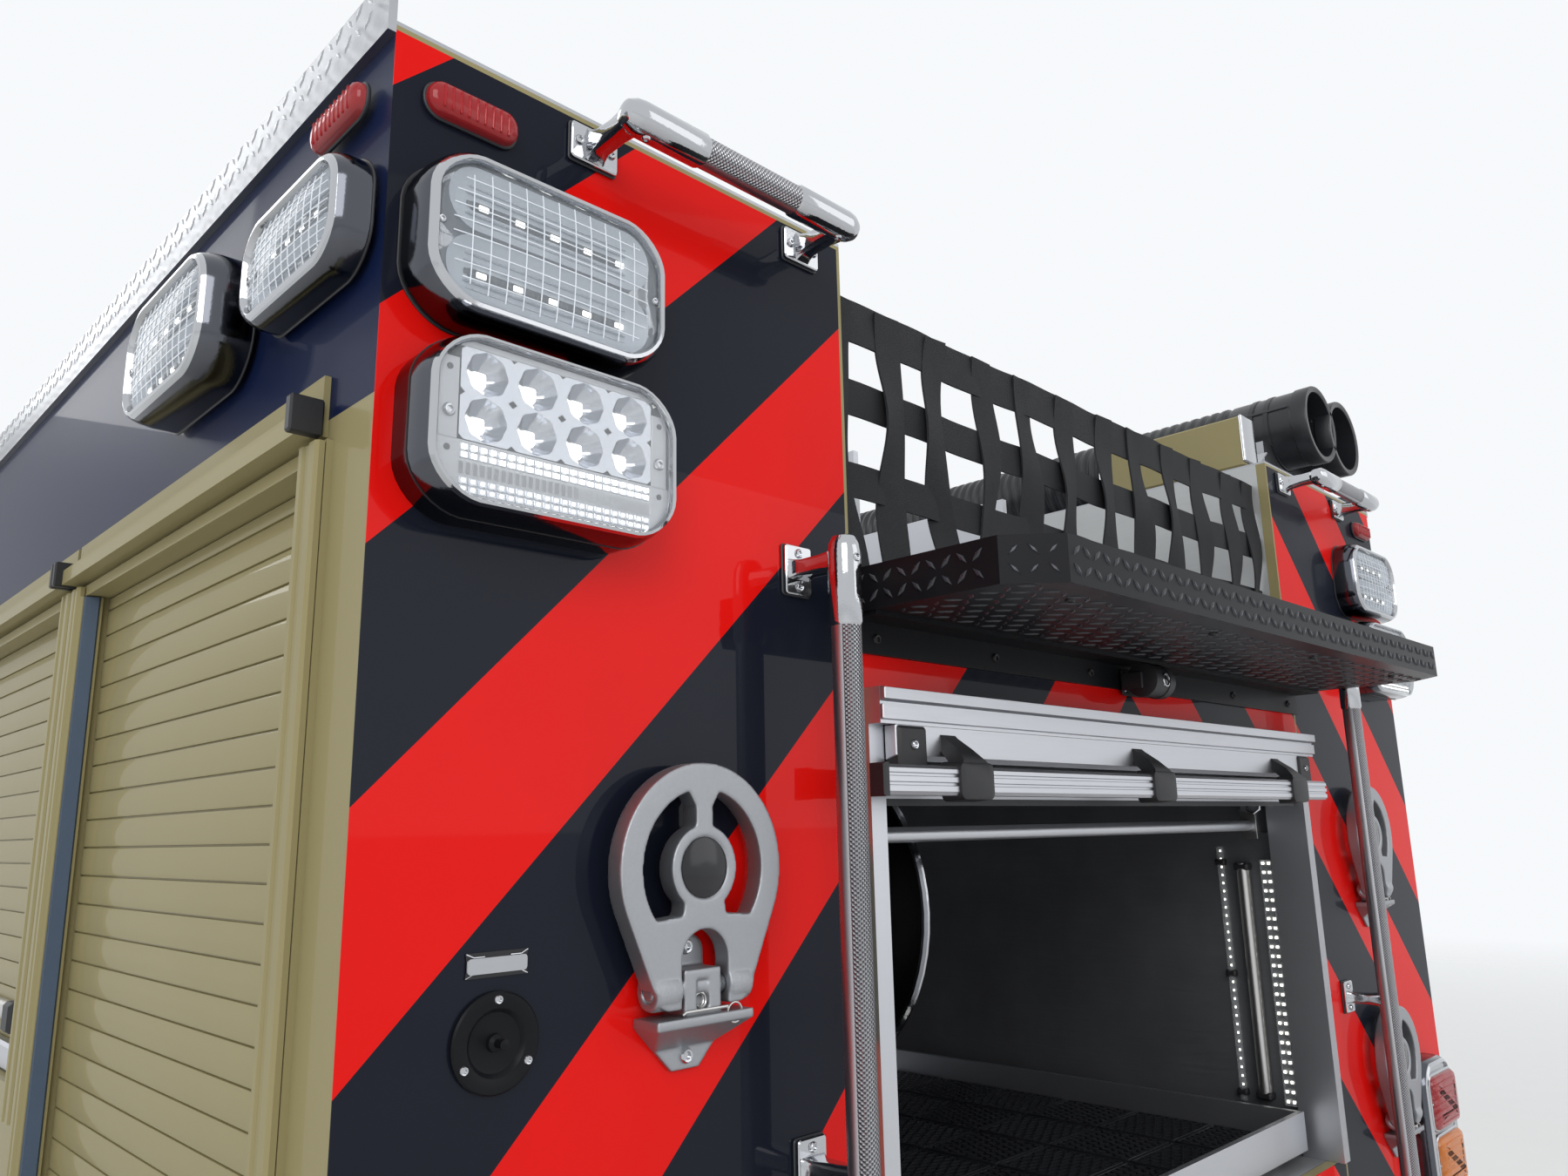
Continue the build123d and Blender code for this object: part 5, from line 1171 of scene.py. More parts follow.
curtain = Piece("shutterCurtain", "anodised").at(facing(1, 0, rearY, 0))
rollY, rollZ, rollRadius = -0.13, 1.735, 0.06
ring = [(rollY + rollRadius * cos(turn), rollZ + rollRadius * sin(turn))
        for turn in (2 * pi * step / 28 for step in range(28))]
curtain.prism(ring, -halfWay + 0.01, halfWay - 0.01)
# slats between the roll and the bottom rail: low and high edge as out and up
for low, high in (((-0.004, 1.612), (-0.004, 1.646)), ((-0.006, 1.648), (-0.02, 1.68)),
                  ((-0.022, 1.682), (-0.048, 1.708)), ((-0.05, 1.71), (-0.075, 1.73))):
    across = Vector((high[1] - low[1], low[0] - high[0])).normalized() * 0.004
    middle = Vector(((low[0] + high[0]) / 2, (low[1] + high[1]) / 2)) + across * 1.3
    curtain.prism([(low[0] - across.x, low[1] - across.y), (low[0] + across.x, low[1] + across.y),
                   (middle.x, middle.y), (high[0] + across.x, high[1] + across.y),
                   (high[0] - across.x, high[1] - across.y)], -halfWay + 0.012, halfWay - 0.012, 0.0008)
curtain.wear("rubber").prism([(-0.01, 1.604), (0.0, 1.604), (0.0, 1.612), (-0.01, 1.612)], -halfWay + 0.012,
    halfWay - 0.012, 0.001)
# flat lift bar with two grooves along its face
bar = opening["bar"]
section = [(0.047, bar - 0.0165), (0.064, bar - 0.0165), (0.068, bar - 0.0125), (0.068, bar - 0.0065),
           (0.0655, bar - 0.0055), (0.0655, bar - 0.003), (0.068, bar - 0.002), (0.068, bar + 0.0035),
           (0.0655, bar + 0.0045), (0.0655, bar + 0.007), (0.068, bar + 0.008), (0.068, bar + 0.0125),
           (0.064, bar + 0.0165), (0.047, bar + 0.0165)]
curtain.wear("anodised").prism(section, -halfWay + 0.03, halfWay + 0.06)
curtain.wear("blackPlastic").prism([(0.046, bar - 0.018), (0.069, bar - 0.018), (0.069, bar + 0.018),
        (0.046, bar + 0.018)], halfWay + 0.058, halfWay + 0.068, 0.002)
for across in opening["hooks"]:
    curtain.wear("blackPlastic").at(onRear(across, bar))
    curtain.skin([[(x, y, level) for x, y in roundRect(wide, tall, 0.008)]
                  for wide, tall, level in ((0.07, 0.046, 0.044), (0.068, 0.044, 0.06), (0.064, 0.042, 0.071),
                      (0.052, 0.036, 0.0735))])
    curtain.skin([[(u * wide, 0.012 + up, out) for u, out in ((-1, front), (1, front), (1, back), (-1, back))]
                  for up, wide, front, back in ((0.0, 0.033, 0.07, 0.05), (0.012, 0.022, 0.068, 0.045),
                      (0.026, 0.014, 0.055, 0.028), (0.04, 0.0135, 0.035, 0.01), (0.052, 0.017, 0.02, 0.0),
                      (0.07, 0.018, 0.01, -0.004))])
    curtain.wear("chrome").screw(0, 0.075, 0.009, 0.004)
curtain.done(replaces=["rear_shutter"], slot="aluminium")

brackets = Piece("rollBrackets", "brushedSteel")
for side in (1, -1):
    brackets.at(facing(side, side * (halfWay - 0.0115), rearY, 0))
    brackets.prism([(x - 0.13, y + 1.727) for x, y in roundRect(0.13, 0.115, 0.02)], -0.002, 0.002, 0.0005)
    brackets.wear("blackPlastic")
    for u, v in ((-0.17, 1.76), (-0.09, 1.76), (-0.17, 1.69), (-0.09, 1.69), (-0.13, 1.655)):
        brackets.prism([(u + x, v + y) for x, y in roundRect(0.012, 0.012, 0.0058)], -0.0028, 0.0, 0.0)
    brackets.wear("brushedSteel")
    brackets.prism([(-0.105, 1.545), (-0.075, 1.545), (-0.075, 1.59), (-0.105, 1.6)], -0.003, 0.001, 0.0004)
    hook = [(-0.09, 1.665, -0.006), (-0.09, 1.62, -0.008), (-0.085, 1.6, -0.012), (-0.072, 1.593, -0.014),
            (-0.062, 1.6, -0.012), (-0.062, 1.612, -0.01)]
    brackets.wear("chrome").tube(hook, 0.003, 8)
    brackets.wear("brushedSteel")
brackets.done(slot="steel")

# Along the side walls: a double row of lit dies, a brushed tube, and a clear tube with dies in it
strips = Piece("sideStrips", "brushedSteel")
wallX = bayX - 0.0003
for side in (1, -1):
    strips.at(facing(-side, side * wallX, rearY, 0))
    strips.wear("satinPlate").block((-0.096, 1.06, 0), (-0.072, 1.505, 0.004), 0.001)
    strips.wear("clearCover").block((-0.0955, 1.0605, 0.004), (-0.0725, 1.5045, 0.0095), 0.003)
    strips.wear("litChip")
    for index in range(26):
        up = 1.068 + index * 0.0172
        for along in (-0.0895, -0.0785):
            strips.slab(along, up, 0.0025, 0.0025, 0.004, 0.0065, 0.0006)
    # tubes: place along, height, radius, finish
    for along, low, high, radius, finish in ((-0.126, 1.076, 1.499, 0.0122, "brushedSteel"),
        (-0.172, 1.06, 1.529, 0.0068, "clearCover")):
        home = strips.place
        strips.place = home @ flat(along, 0, radius + 0.0003) @ spun(-pi / 2, "X")
        strips.wear(finish).lathe([(radius * 0.9, low), (radius, low + 0.001), (radius, high - 0.001),
                                      (radius * 0.9, high)], 20)
        strips.place = home
    strips.wear("litChip")
    for index in range(30):
        strips.block((-0.1735, 1.07 + index * 0.0155, 0.004), (-0.1705, 1.074 + index * 0.0155, 0.0062),
                     0.0005)
    strips.wear("blackPlastic")
    for up in (1.075, 1.29, 1.5):
        strips.block((-0.182, up - 0.006, 0.0), (-0.162, up + 0.006, 0.0145), 0.003)
    for up in (1.072, 1.489):
        strips.block((-0.141, up - 0.004, 0.0), (-0.112, up + 0.01, 0.0255), 0.004)
        strips.wear("chrome").screw(-0.146, up + 0.003, 0.002, 0.004)
        strips.wear("blackPlastic")
strips.done(replaces=["rear_fittings"], slot="aluminium")

# Tile mat: rhombic grids that turn from tile to tile
mat = {"tile": 0.1475, "rise": 0.0125, "rib": 0.0032}
matLow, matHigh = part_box("tray_mat")
tiles = Piece("trayMat", "matRubber")
tiles.block((matLow.x, matLow.y, matLow.z), (matHigh.x, matHigh.y, matLow.z + 0.002), 0.0005)
columns = int((matHigh.x - matLow.x) / mat["tile"])
rows = int((matHigh.y - matLow.y) / mat["tile"])
reach = mat["tile"] / 2 - 0.001
for row in range(rows):
    for column in range(columns):
        middle = Vector((matLow.x + (column + 0.5) * (matHigh.x - matLow.x) / columns,
                         matLow.y + (row + 0.5) * (matHigh.y - matLow.y) / rows, matLow.z + 0.0018))
        turn = spun(pi / 2 * ((row + column) % 2), "Z")
        tiles.at(Matrix.Translation(middle) @ turn)
        for u in (-reach, reach):
            tiles.slab(u, 0, 0.0018, reach, 0, mat["rise"] - 0.002, 0.0008)
            tiles.slab(0, u, reach, 0.0018, 0, mat["rise"] - 0.002, 0.0008)
        for lean in (1, -1):
            for step in range(-5, 6):
                # a rib of slope one half, cut to the tile
                shift = step * 0.0185
                ends = [Vector((x, lean * (x * 0.5) + shift)) for x in (-reach, reach)]
                low, high = 0.0, 1.0
                run = ends[1] - ends[0]
                for limit in (reach, -reach):
                    if run.y:
                        cut = (limit - ends[0].y) / run.y
                        rising = run.y > 0
                        if (limit > 0) == rising:
                            high = min(high, cut)
                        else:
                            low = max(low, cut)
                if high - low < 0.05:
                    continue
                start, end = ends[0] + run * low, ends[0] + run * high
                aside = Vector((-run.y, run.x)).normalized() * mat["rib"] / 2
                low4 = [start - aside, end - aside, end + aside, start + aside]
                tiles.skin([[(*p, 0) for p in low4], [(*p, mat["rise"] - 0.0025) for p in low4]])
tiles.done("tray", ["tray_mat"], "rubber", 20)

# Reel: polished rims, dished discs dark brownish as painted reflection, drum with turns of hose, and stub
reelLow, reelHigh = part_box("reel")
reelY, reelZ = (reelLow.y + reelHigh.y) / 2, (reelLow.z + reelHigh.z) / 2
reelX = reelHigh.x - 0.075
spool = Piece("reelSpool", "darkSteel").at(flat(reelX, reelY, reelZ) @ spun(pi / 2, "Y"))
for end in (-1, 1):
    spool.wear("darkSteel").lathe([(0.228, end * 0.0745), (0.2, end * 0.0725), (0.13, end * 0.0675),
            (0.06, end * 0.067), (0.06, end * 0.063), (0.2, end * 0.067), (0.228, end * 0.069)], 56, True)
    spool.wear("chrome").lathe([(0.226, end * 0.068), (0.231, end * 0.0668), (0.235, end * 0.0695),
            (0.235, end * 0.0735), (0.231, end * 0.0748), (0.226, end * 0.0748)], 56, True)
    for spoke in range(6):
        turn = spoke * pi / 3
        home = spool.place
        spool.place = home @ spun(turn, "Z") @ flat(0.1, 0, 0)
        spool.wear("chrome").lathe([(0.006, end * 0.067), (0.006, end * 0.0715), (0.004, end * 0.073)], 10)
        spool.place = home
spool.wear("darkSteel").lathe([(0.12, -0.066), (0.12, 0.066)], 40)
spool.wear("blackPlastic").lathe([(0.03, -0.074), (0.03, -0.09), (0.026, -0.094), (0.026, -0.13),
        (0.022, -0.134)], 28)
spool.wear("rubber")
for turn in range(5):
    along = -0.052 + turn * 0.026
    spool.lathe([(0.119, along - 0.012), (0.13, along - 0.011), (0.1435, along - 0.006), (0.146, along),
                 (0.1435, along + 0.006), (0.13, along + 0.011), (0.119, along + 0.012)], 40)
spool.done("reel", ["reel"], "steel")
print("opening made")


# Side trims: jamb profiles, drip rail caps, tread plate on the upstands

doors = (
    # front and back measured from the rear face, sill
    (-0.847, -0.117, 0.64), (-2.1, -0.938, 1.278), (-2.9, -2.19, 0.64),
)
doorHead = 1.905
trims = Piece("sideTrims", "tanPaint")
for side in (1, -1):
    for index, (front, back, sill) in enumerate(doors):
        for edge, away in ((back, 1), (front, -1)):
            # section of the jamb: u away from the door, w out of the skin
            place = Matrix(((0, side, 0, side * sideX), (away, 0, 0, rearY + edge), (0, 0, 1, 0),
                            (0, 0, 0, 1)))
            trims.at(place).wear("tanPaint")
            trims.prism([(0.001, 0.006), (0.004, 0.0095), (0.011, 0.0095), (0.013, 0.0075), (0.022, 0.007),
                         (0.024, 0.0088), (0.036, 0.0088), (0.0395, 0.006), (0.0395, 0.001), (0.001, 0.001)],
                        sill - 0.038, doorHead + 0.012)
            trims.prism([(0.0006, 0.006), (0.0006, -0.019), (-0.004, -0.021), (-0.009, -0.0195),
                         (-0.009, -0.0165), (-0.003, -0.015), (-0.0025, 0.003)], sill + 0.001,
                        doorHead - 0.001)
            if away < 0:
                trims.wear("slateStrip").prism([(-0.0005, 0.002), (-0.0005, -0.018), (-0.006, -0.019),
                        (-0.012, -0.014), (-0.009, 0.001)], sill + 0.002, doorHead - 0.002, 0.0005)
        trims.at(onSide(side, rearY + (front + back) / 2, sill))
        width = (back - front) / 2
        trims.wear("anodised").block((-width + 0.012, 0.001, -0.03), (width - 0.012, 0.036, -0.013), 0.004)
        trims.wear("rubber").block((-width + 0.012, -0.001, -0.028), (width - 0.012, 0.004, -0.016), 0.001)
        trims.wear("blackPlastic")
        for u in (-width + 0.09, width - 0.09):
            trims.block((u - 0.02, 0.055, -0.03), (u + 0.02, 0.095, -0.0), 0.005)
        trims.at(onSide(side, rearY + (front + back) / 2, 1.935))
        for u in (-width - 0.05, width + 0.026):
            trims.block((u - 0.006, -0.012, 0.0), (u + 0.006, 0.022, 0.03), 0.002)
trims.done(slot="body_paint")

plates = Piece("roofTreads", "treadPlain")
for side in (1, -1):
    plates.at(onSide(side, (rearY + bodyFrontY) / 2, bodyTop + 0.023, 0.008))
    lozenges(plates, 2.98, 0.06, 0.0215, rise=0.0016)
    plates.at(flat(side * (bayX + sideX) / 2, (rearY + bodyFrontY) / 2, bodyTop + 0.004))
    lozenges(plates, 0.56, 2.98, 0.034)
plates.at(flat(0, rearY + 0.14, 0.6))
lozenges(plates, 2.4, 0.24, 0.034)
for side in (1, -1):
    low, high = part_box("running_boards")
    plates.at(flat(side * (high.x - 0.11), (low.y + high.y) / 2, 0.52))
    lozenges(plates, 0.2, high.y - low.y - 0.02, 0.034)
plates.done(slot="tread_plate")

# Tan box with bright caps and a slanted tread plate beside the hoses
box = Piece("hoseTrayBox", "tanPaint").at(flat(-0.668, rearY, 0))
box.block((-0.03, -0.365, 2.295), (0.03, -0.041, 2.404), 0.004)
box.wear("chrome").block((-0.032, -0.043, 2.303), (0.032, -0.036, 2.406), 0.003)
box.block((-0.032, -0.37, 2.303), (0.032, -0.363, 2.406), 0.003)
box.wear("treadPlain").skin([[(-0.04, -0.36, 2.3), (-0.04, -0.05, 2.3), (-0.043, -0.05, 2.3),
            (-0.043, -0.36, 2.3)], [(-0.12, -0.36, 2.36), (-0.12, -0.05, 2.36), (-0.123, -0.05, 2.358),
            (-0.123, -0.36, 2.358)]])
box.done(slot="body_paint")
print("side trims made")


# Wheel fittings: nuts and studs round the hub, valve, hub cap and the bright rings behind the disc

nuts = {"circle": 0.1175, "count": 10, "size": 0.0155}


def wheelNuts(name, body, side, faceX, centreY, capOut):
    ring = Piece(name, "chrome")
    nutSize = nuts["size"]
    home = flat(side * faceX, centreY, wheel["axleZ"]) @ spun(side * pi / 2, "Y")
    for nut in range(nuts["count"]):
        turn = 2 * pi * nut / nuts["count"]
        ring.at(home @ spun(turn, "Z") @ flat(nuts["circle"], 0, 0))
        ring.lathe([(nutSize * 1.25, 0), (nutSize * 1.25, 0.003), (nutSize, 0.005), (nutSize, 0.017),
                    (nutSize * 0.8, 0.021)], 6)
        ring.lathe([(nutSize * 0.5, 0.018), (nutSize * 0.5, 0.033), (nutSize * 0.4, 0.035)], 10)
    ring.at(home)
    ring.lathe([(0.0815, -0.003), (0.083, 0.0), (0.083, 0.006), (0.0815, 0.008)], 40)
    ring.at(home @ flat(0, 0, capOut))
    ring.screws(8, 0.046, 0, 0.006)
    ring.lathe([(0.034, 0), (0.034, 0.004), (0.03, 0.007), (0.012, 0.009)], 32)
    ring.at(home @ spun(0.35, "Z"))
    ring.wear("rubber").tube([(0.2, 0, -0.04), (0.205, 0, -0.015), (0.2, 0, 0.006)], 0.004, 8)
    ring.wear("chrome").tube([(0.2, 0, 0.004), (0.198, 0, 0.018)], 0.0045, 8)
    ring.done(body, slot="wheel")


for side, hand in hands:
    wheelNuts("wheelNutsFront_" + hand, "wheel_front_" + hand, side, 1.0825, frontAxleY, 0.0485)
    wheelNuts("wheelNutsRear_" + hand, "wheel_rear_" + hand, side, 0.9505, rearAxleY, 0.1505)
print("wheel fittings made")


# Cab

def byAxle(x, y, z):
    return flat(x, frontAxleY + y, z)


def softCushion(name, finish, outline, halfWidth, crown, channels):
    # Closed pad between two sides: outline in the side view, crowned between its corners, with sewn channels
    pad = Piece(name, finish)
    columns = 24
    middle = Vector((sum(y for y, z in outline) / len(outline), sum(z for y, z in outline) / len(outline)))
    rings = []
    for column in range(columns + 1):
        s = 2 * column / columns - 1
        full = (1 - abs(s) ** 6) ** 0.5 if abs(s) < 1 else 0
        shrink = 0.55 + 0.45 * full
        channel = 1 - 0.035 * sum(1 for place in channels if abs(s - place) < 0.045)
        ring = []
        for y, z in outline:
            away = Vector((y, z)) - middle
            swell = 1 + crown * (1 - s * s)
            ring.append((s * halfWidth, middle.x + away.x * shrink * swell * channel,
                         middle.y + away.y * shrink * swell * channel))
        rings.append(ring)
    pad.skin(rings)
    return pad


def rounded(points, corner, steps=4):
    # Side-view outline with its corners rounded
    path = []
    for index, point in enumerate(points):
        here = Vector(point)
        before, after = Vector(points[index - 1]), Vector(points[(index + 1) % len(points)])
        reach = min(corner, (before - here).length * 0.45, (after - here).length * 0.45)
        start = here + (before - here).normalized() * reach
        end = here + (after - here).normalized() * reach
        for step in range(steps + 1):
            t = step / steps
            path.append(tuple(start * (1 - t) ** 2 + here * 2 * t * (1 - t) + end * t * t))
    return path


def puffed(made, cap, centre, half, channels, voxel=0.013):
    # Inflates a copy of the cover as sewn cloth, keeps every point within the cap, then sews the channels in
    remesh = made.modifiers.new("remesh", "REMESH")
    remesh.mode = "VOXEL"
    remesh.voxel_size = voxel
    graph = bpy.context.evaluated_depsgraph_get()
    start = bpy.data.meshes.new_from_object(made.evaluated_get(graph), depsgraph=graph)
    made.modifiers.remove(remesh)
    work = added(made.name + "Cloth", start)
    cloth = work.modifiers.new("cloth", "CLOTH")
    cloth.settings.use_pressure = True
    cloth.settings.uniform_pressure_force = 4.0
    cloth.settings.effector_weights.gravity = 0.0
    cloth.point_cache.frame_start = 1
    cloth.point_cache.frame_end = 20
    for step in range(1, 21):
        bpy.context.scene.frame_set(step)
    graph = bpy.context.evaluated_depsgraph_get()
    swollen = bpy.data.meshes.new_from_object(work.evaluated_get(graph), depsgraph=graph)
    bpy.context.scene.frame_set(1)
    for before, after in zip(start.vertices, swollen.vertices):
        move = after.co - before.co
        if move.length > cap:
            after.co = before.co + move.normalized() * cap
        for place in channels:
            near = 1 - abs((after.co.x - centre) / half - place) / 0.05
            if near > 0:
                after.co -= after.normal * 0.006 * near
    bpy.data.objects.remove(work)
    swollen.name = made.name + "Puffed"
    swollen.materials.clear()
    swollen.materials.append(made.data.materials[0])
    swollen.shade_smooth()
    made.data = swollen
    smooth = made.modifiers.new("smooth", "SUBSURF")
    smooth.levels = smooth.render_levels = 1
    return made


seat = {"x": 0.4, "back": cab["doorBack"]}
seatBack = seat["back"]
pads = (
    # name, side view from the seat's back edge, corner, half width, crown, channels, cap, fill
    ("Cushion", [(-0.6, 1.085), (-0.59, 1.18), (-0.19, 1.155), (-0.1, 1.085)], 0.045, 0.25, 0.02,
     (-0.55, 0.55), 0.012, 0.85),
    ("Back", [(-0.18, 1.15), (-0.065, 1.615), (0.01, 1.61), (-0.065, 1.12)], 0.04, 0.245, 0.03, (-0.5, 0.5),
     0.012, 0.85),
    ("Head", [(-0.04, 1.65), (-0.012, 1.77), (0.075, 1.76), (0.045, 1.65)], 0.03, 0.126, 0.03, (), 0.006,
     0.8),
)
for name, view, corner, half, crown, channels, cap, fill in pads:
    pad = softCushion("seat" + name + "_left", "seatCloth",
                      rounded([(seatBack + y, z) for y, z in view], corner), half, crown, channels)
    pad.mesh.transform(byAxle(seat["x"], 0, 0))
    left = puffed(pad.done(replaces=["seats"], slot="seat_cloth", smooth=60), cap, seat["x"], half, channels)
    # the passenger's pad is the same cover moved across
    right = left.copy()
    right.name = "seat" + name + "_right"
    right.data = left.data.copy()
    right.data.transform(flat(-2 * seat["x"], 0, 0))
    bpy.context.scene.collection.objects.link(right)
    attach(right, "chassis")
    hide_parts("seats")
for side, hand in hands:
    mount = Piece("seatFrame_" + hand, "greyPlastic").at(byAxle(side * seat["x"], 0, 0))
    mount.block((-0.2, seatBack - 0.56, cab["floor"]), (0.2, seatBack - 0.1, 1.075), 0.02)
    mount.block((-0.24, seatBack - 0.58, 1.05), (0.24, seatBack - 0.12, 1.082), 0.012)
    mount.wear("chrome")
    for across in (-0.05, 0.05):
        mount.tube([(across, seatBack - 0.02, 1.59), (across, seatBack + 0.012, 1.67)], 0.006, 10)
    mount.wear("blackPlastic").block((0.262, seatBack - 0.3, 1.06), (0.28, seatBack - 0.06, 1.15), 0.006)
    mount.wear("redLens").block((-0.28, seatBack - 0.16, 1.14), (-0.264, seatBack - 0.13, 1.2), 0.004)
    mount.done(replaces=["seats"], slot="interior")
print("seats made")

# Front end: mesh behind the grille, lamp units, lower intake, bumper fittings
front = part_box("grille")[0].y
face = onFront(0, front, 0)
grilleMesh = Piece("grilleMesh", "blackPlastic").at(face)
grilleMesh.block((-0.565, 0.935, -0.07), (0.565, 1.165, -0.066), 0.001)
for row in range(9):
    for column in range(44):
        u = (column - 21.5) * 0.0255 + (0.0128 if row % 2 else 0)
        v = 1.05 + (row - 4) * 0.0235
        if abs(u) < 0.555:
            grilleMesh.skin([[(u + a, v + b, level) for a, b in ((-0.0115, 0), (0, -0.0105), (0.0115, 0),
                                  (0, 0.0105))] for level in (-0.066, -0.06)])
grilleMesh.wear("chrome")
for v in (0.97, 1.05, 1.13):
    grilleMesh.slab(0, v, 0.56, 0.011, 0.0, 0.006, 0.003)
grilleMesh.done(slot="chrome")

headlamp = {"x": 0.798, "z": 1.025, "bowls": (-0.078, 0.078)}
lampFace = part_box("headlamps")[0].y
for side, hand in hands:
    place = onFront(side * headlamp["x"], lampFace + 0.05, headlamp["z"])
    unit = Piece("headlamp_" + hand, "chrome").at(place)
    unit.stepped(roundRect(0.35, 0.25, 0.03, 8), ((0, 0), (0, 0.044), (0.003, 0.048), (0.01, 0.049),
                     (0.013, 0.046), (0.014, 0.016)))
    unit.wear("glossBlack").slab(0, 0, 0.158, 0.11, 0.0158, 0.022, 0.002)
    for u in headlamp["bowls"]:
        # deep bowl with a projector in it
        bowl = [(0.07, 0.044), (0.066, 0.04), (0.056, 0.026), (0.04, 0.018), (0.03, 0.0175), (0.03, 0.03),
                (0.026, 0.0325), (0.0255, 0.012), (0.0705, 0.012)]
        unit.place = place @ flat(u, 0.036, 0)
        unit.wear("reflector").lathe(bowl, 40, True)
        unit.wear("clearLens").lathe([(0.026, 0.031), (0.022, 0.038), (0.012, 0.0425), (0.002, 0.0435)], 28)
        unit.place = place
    unit.wear("chrome").block((-0.156, -0.046, 0.018), (0.156, -0.04, 0.043), 0.002)
    unit.wear("amberLens").block((-0.155, -0.108, 0.018), (0.155, -0.047, 0.039), 0.006)
    for column in range(19):
        u = (column - 9) * 0.0161
        unit.block((u - 0.0012, -0.104, 0.038), (u + 0.0012, -0.051, 0.0412), 0.0006)
    unit.done(replaces=["headlamps"], slot="chrome")
    cover = Piece("headlampCover_" + hand, "clearCover").at(place)
    lensSheet(cover, (0.326, 0.226), 0.0445, 0.004, power=9)
    thicken(cover.done(replaces=["headlamps"], slot="lamp_clear", smooth=60), 0.002)

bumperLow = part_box("front_bumper")[0]
bumperFace = onFront(0, bumperLow.y, 0)
fittings = Piece("bumperFittings", "chrome").at(bumperFace)
for u in (-0.62, 0.62):
    # fog lamp in its recess: black bezel, bowl and crowned glass
    fittings.at(bumperFace).wear("blackPlastic").block((u - 0.089, 0.596, -0.012),
        (u + 0.089, 0.704, -0.0075), 0.002)
    fittings.place = bumperFace @ flat(u, 0.65, -0.0075)
    fittings.wear("chrome").lathe([(0.05, 0), (0.05, 0.004), (0.046, 0.006), (0.043, 0.004), (0.043, 0)], 40,
        True)
    fittings.wear("reflector").lathe([(0.043, 0.0005), (0.03, 0.0015), (0.012, 0.001), (0.001, 0.001)], 32)
    fittings.wear("clearLens").lathe([(0.043, 0.002), (0.034, 0.0052), (0.018, 0.0068), (0.001, 0.0072)], 32)
    fittings.at(bumperFace).wear("blackPlastic")
    for side in (1, -1):
        for v in (-0.03, -0.01, 0.01, 0.03):
            fittings.slab(u + side * 0.07, 0.65 + v, 0.013, 0.004, -0.008, -0.004, 0.0015)
fittings.done(slot="chrome")
deck = Piece("bumperDeck", "treadPlain").at(flat(0, bumperLow.y + 0.19, 0.79))
deck.block((-1.05, -0.12, -0.002), (1.05, 0.13, 0.0005), 0.0002)
lozenges(deck, 2.05, 0.24, 0.034, rise=0.0008)
deck.done(slot="tread_plate")


# Side doors: thin-grooved slats, the pull bar and its brackets

slats = {"inset": 0.022, "pitch": 0.0347, "gap": 0.002, "groove": 0.0034}
curtains = Piece("sideCurtains", "tanPaint")
for side in (1, -1):
    for front, back, sill in doors:
        faceX = side * (sideX - 0.006 - slats["inset"])
        curtains.at(Matrix(((side, 0, 0, faceX), (0, 0, 1, rearY), (0, 1, 0, 0), (0, 0, 0, 1))))
        outline = [(-0.012, sill + slats["gap"]), (0, sill + slats["gap"])]
        for slat in range(1, int((doorHead - sill) / slats["pitch"]) + 1):
            up = sill + slat * slats["pitch"]
            if up < doorHead - 0.006:
                outline += [(0, up - 0.0042), (-0.0009, up - 0.0028), (-slats["groove"], up - 0.0023),
                            (-slats["groove"], up - 0.0009), (-0.0006, up - 0.0004), (0, up + 0.0012)]
        outline += [(0, doorHead - slats["gap"]), (-0.012, doorHead - slats["gap"])]
        curtains.wear("tanPaint").skin([[(x, y, level) for x, y in outline]
                for level in (front + slats["gap"], back - slats["gap"])])
        curtains.at(onSide(side, rearY, sill + 0.075, -0.02))
        curtains.wear("brushedSteel").tube([(front + 0.075, 0, 0), (back - 0.075, 0, 0)], 0.0125, 16)
        curtains.wear("blackPlastic")
        for u in (front + 0.08, back - 0.08):
            curtains.slab(u, 0, 0.012, 0.02, -0.008, 0.015, 0.004)
curtains.done(replaces=["side_shutters"], slot="body_paint")
print("side doors made")


# Light bar: black base, five domes over reflectors with rows of dies
barLow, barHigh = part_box("light_bar")
bar = {"length": barHigh.x - barLow.x, "depth": barHigh.y - barLow.y, "base": barLow.z + 0.025,
       "top": barHigh.z}
base, top = bar["base"], bar["top"]
barPlace = flat(0, (barLow.y + barHigh.y) / 2, 0)
outline = roundRect(bar["length"], bar["depth"], 0.09, 8)


def between(start, end, margin):
    # The part of the bar's outline between two places along it
    kept = [(max(start, min(end, x)), y * (1 - margin)) for x, y in outline]
    clean = []
    for point in kept:
        if not clean or (Vector(point) - Vector(clean[-1])).length > 0.0005:
            clean.append(point)
    return clean


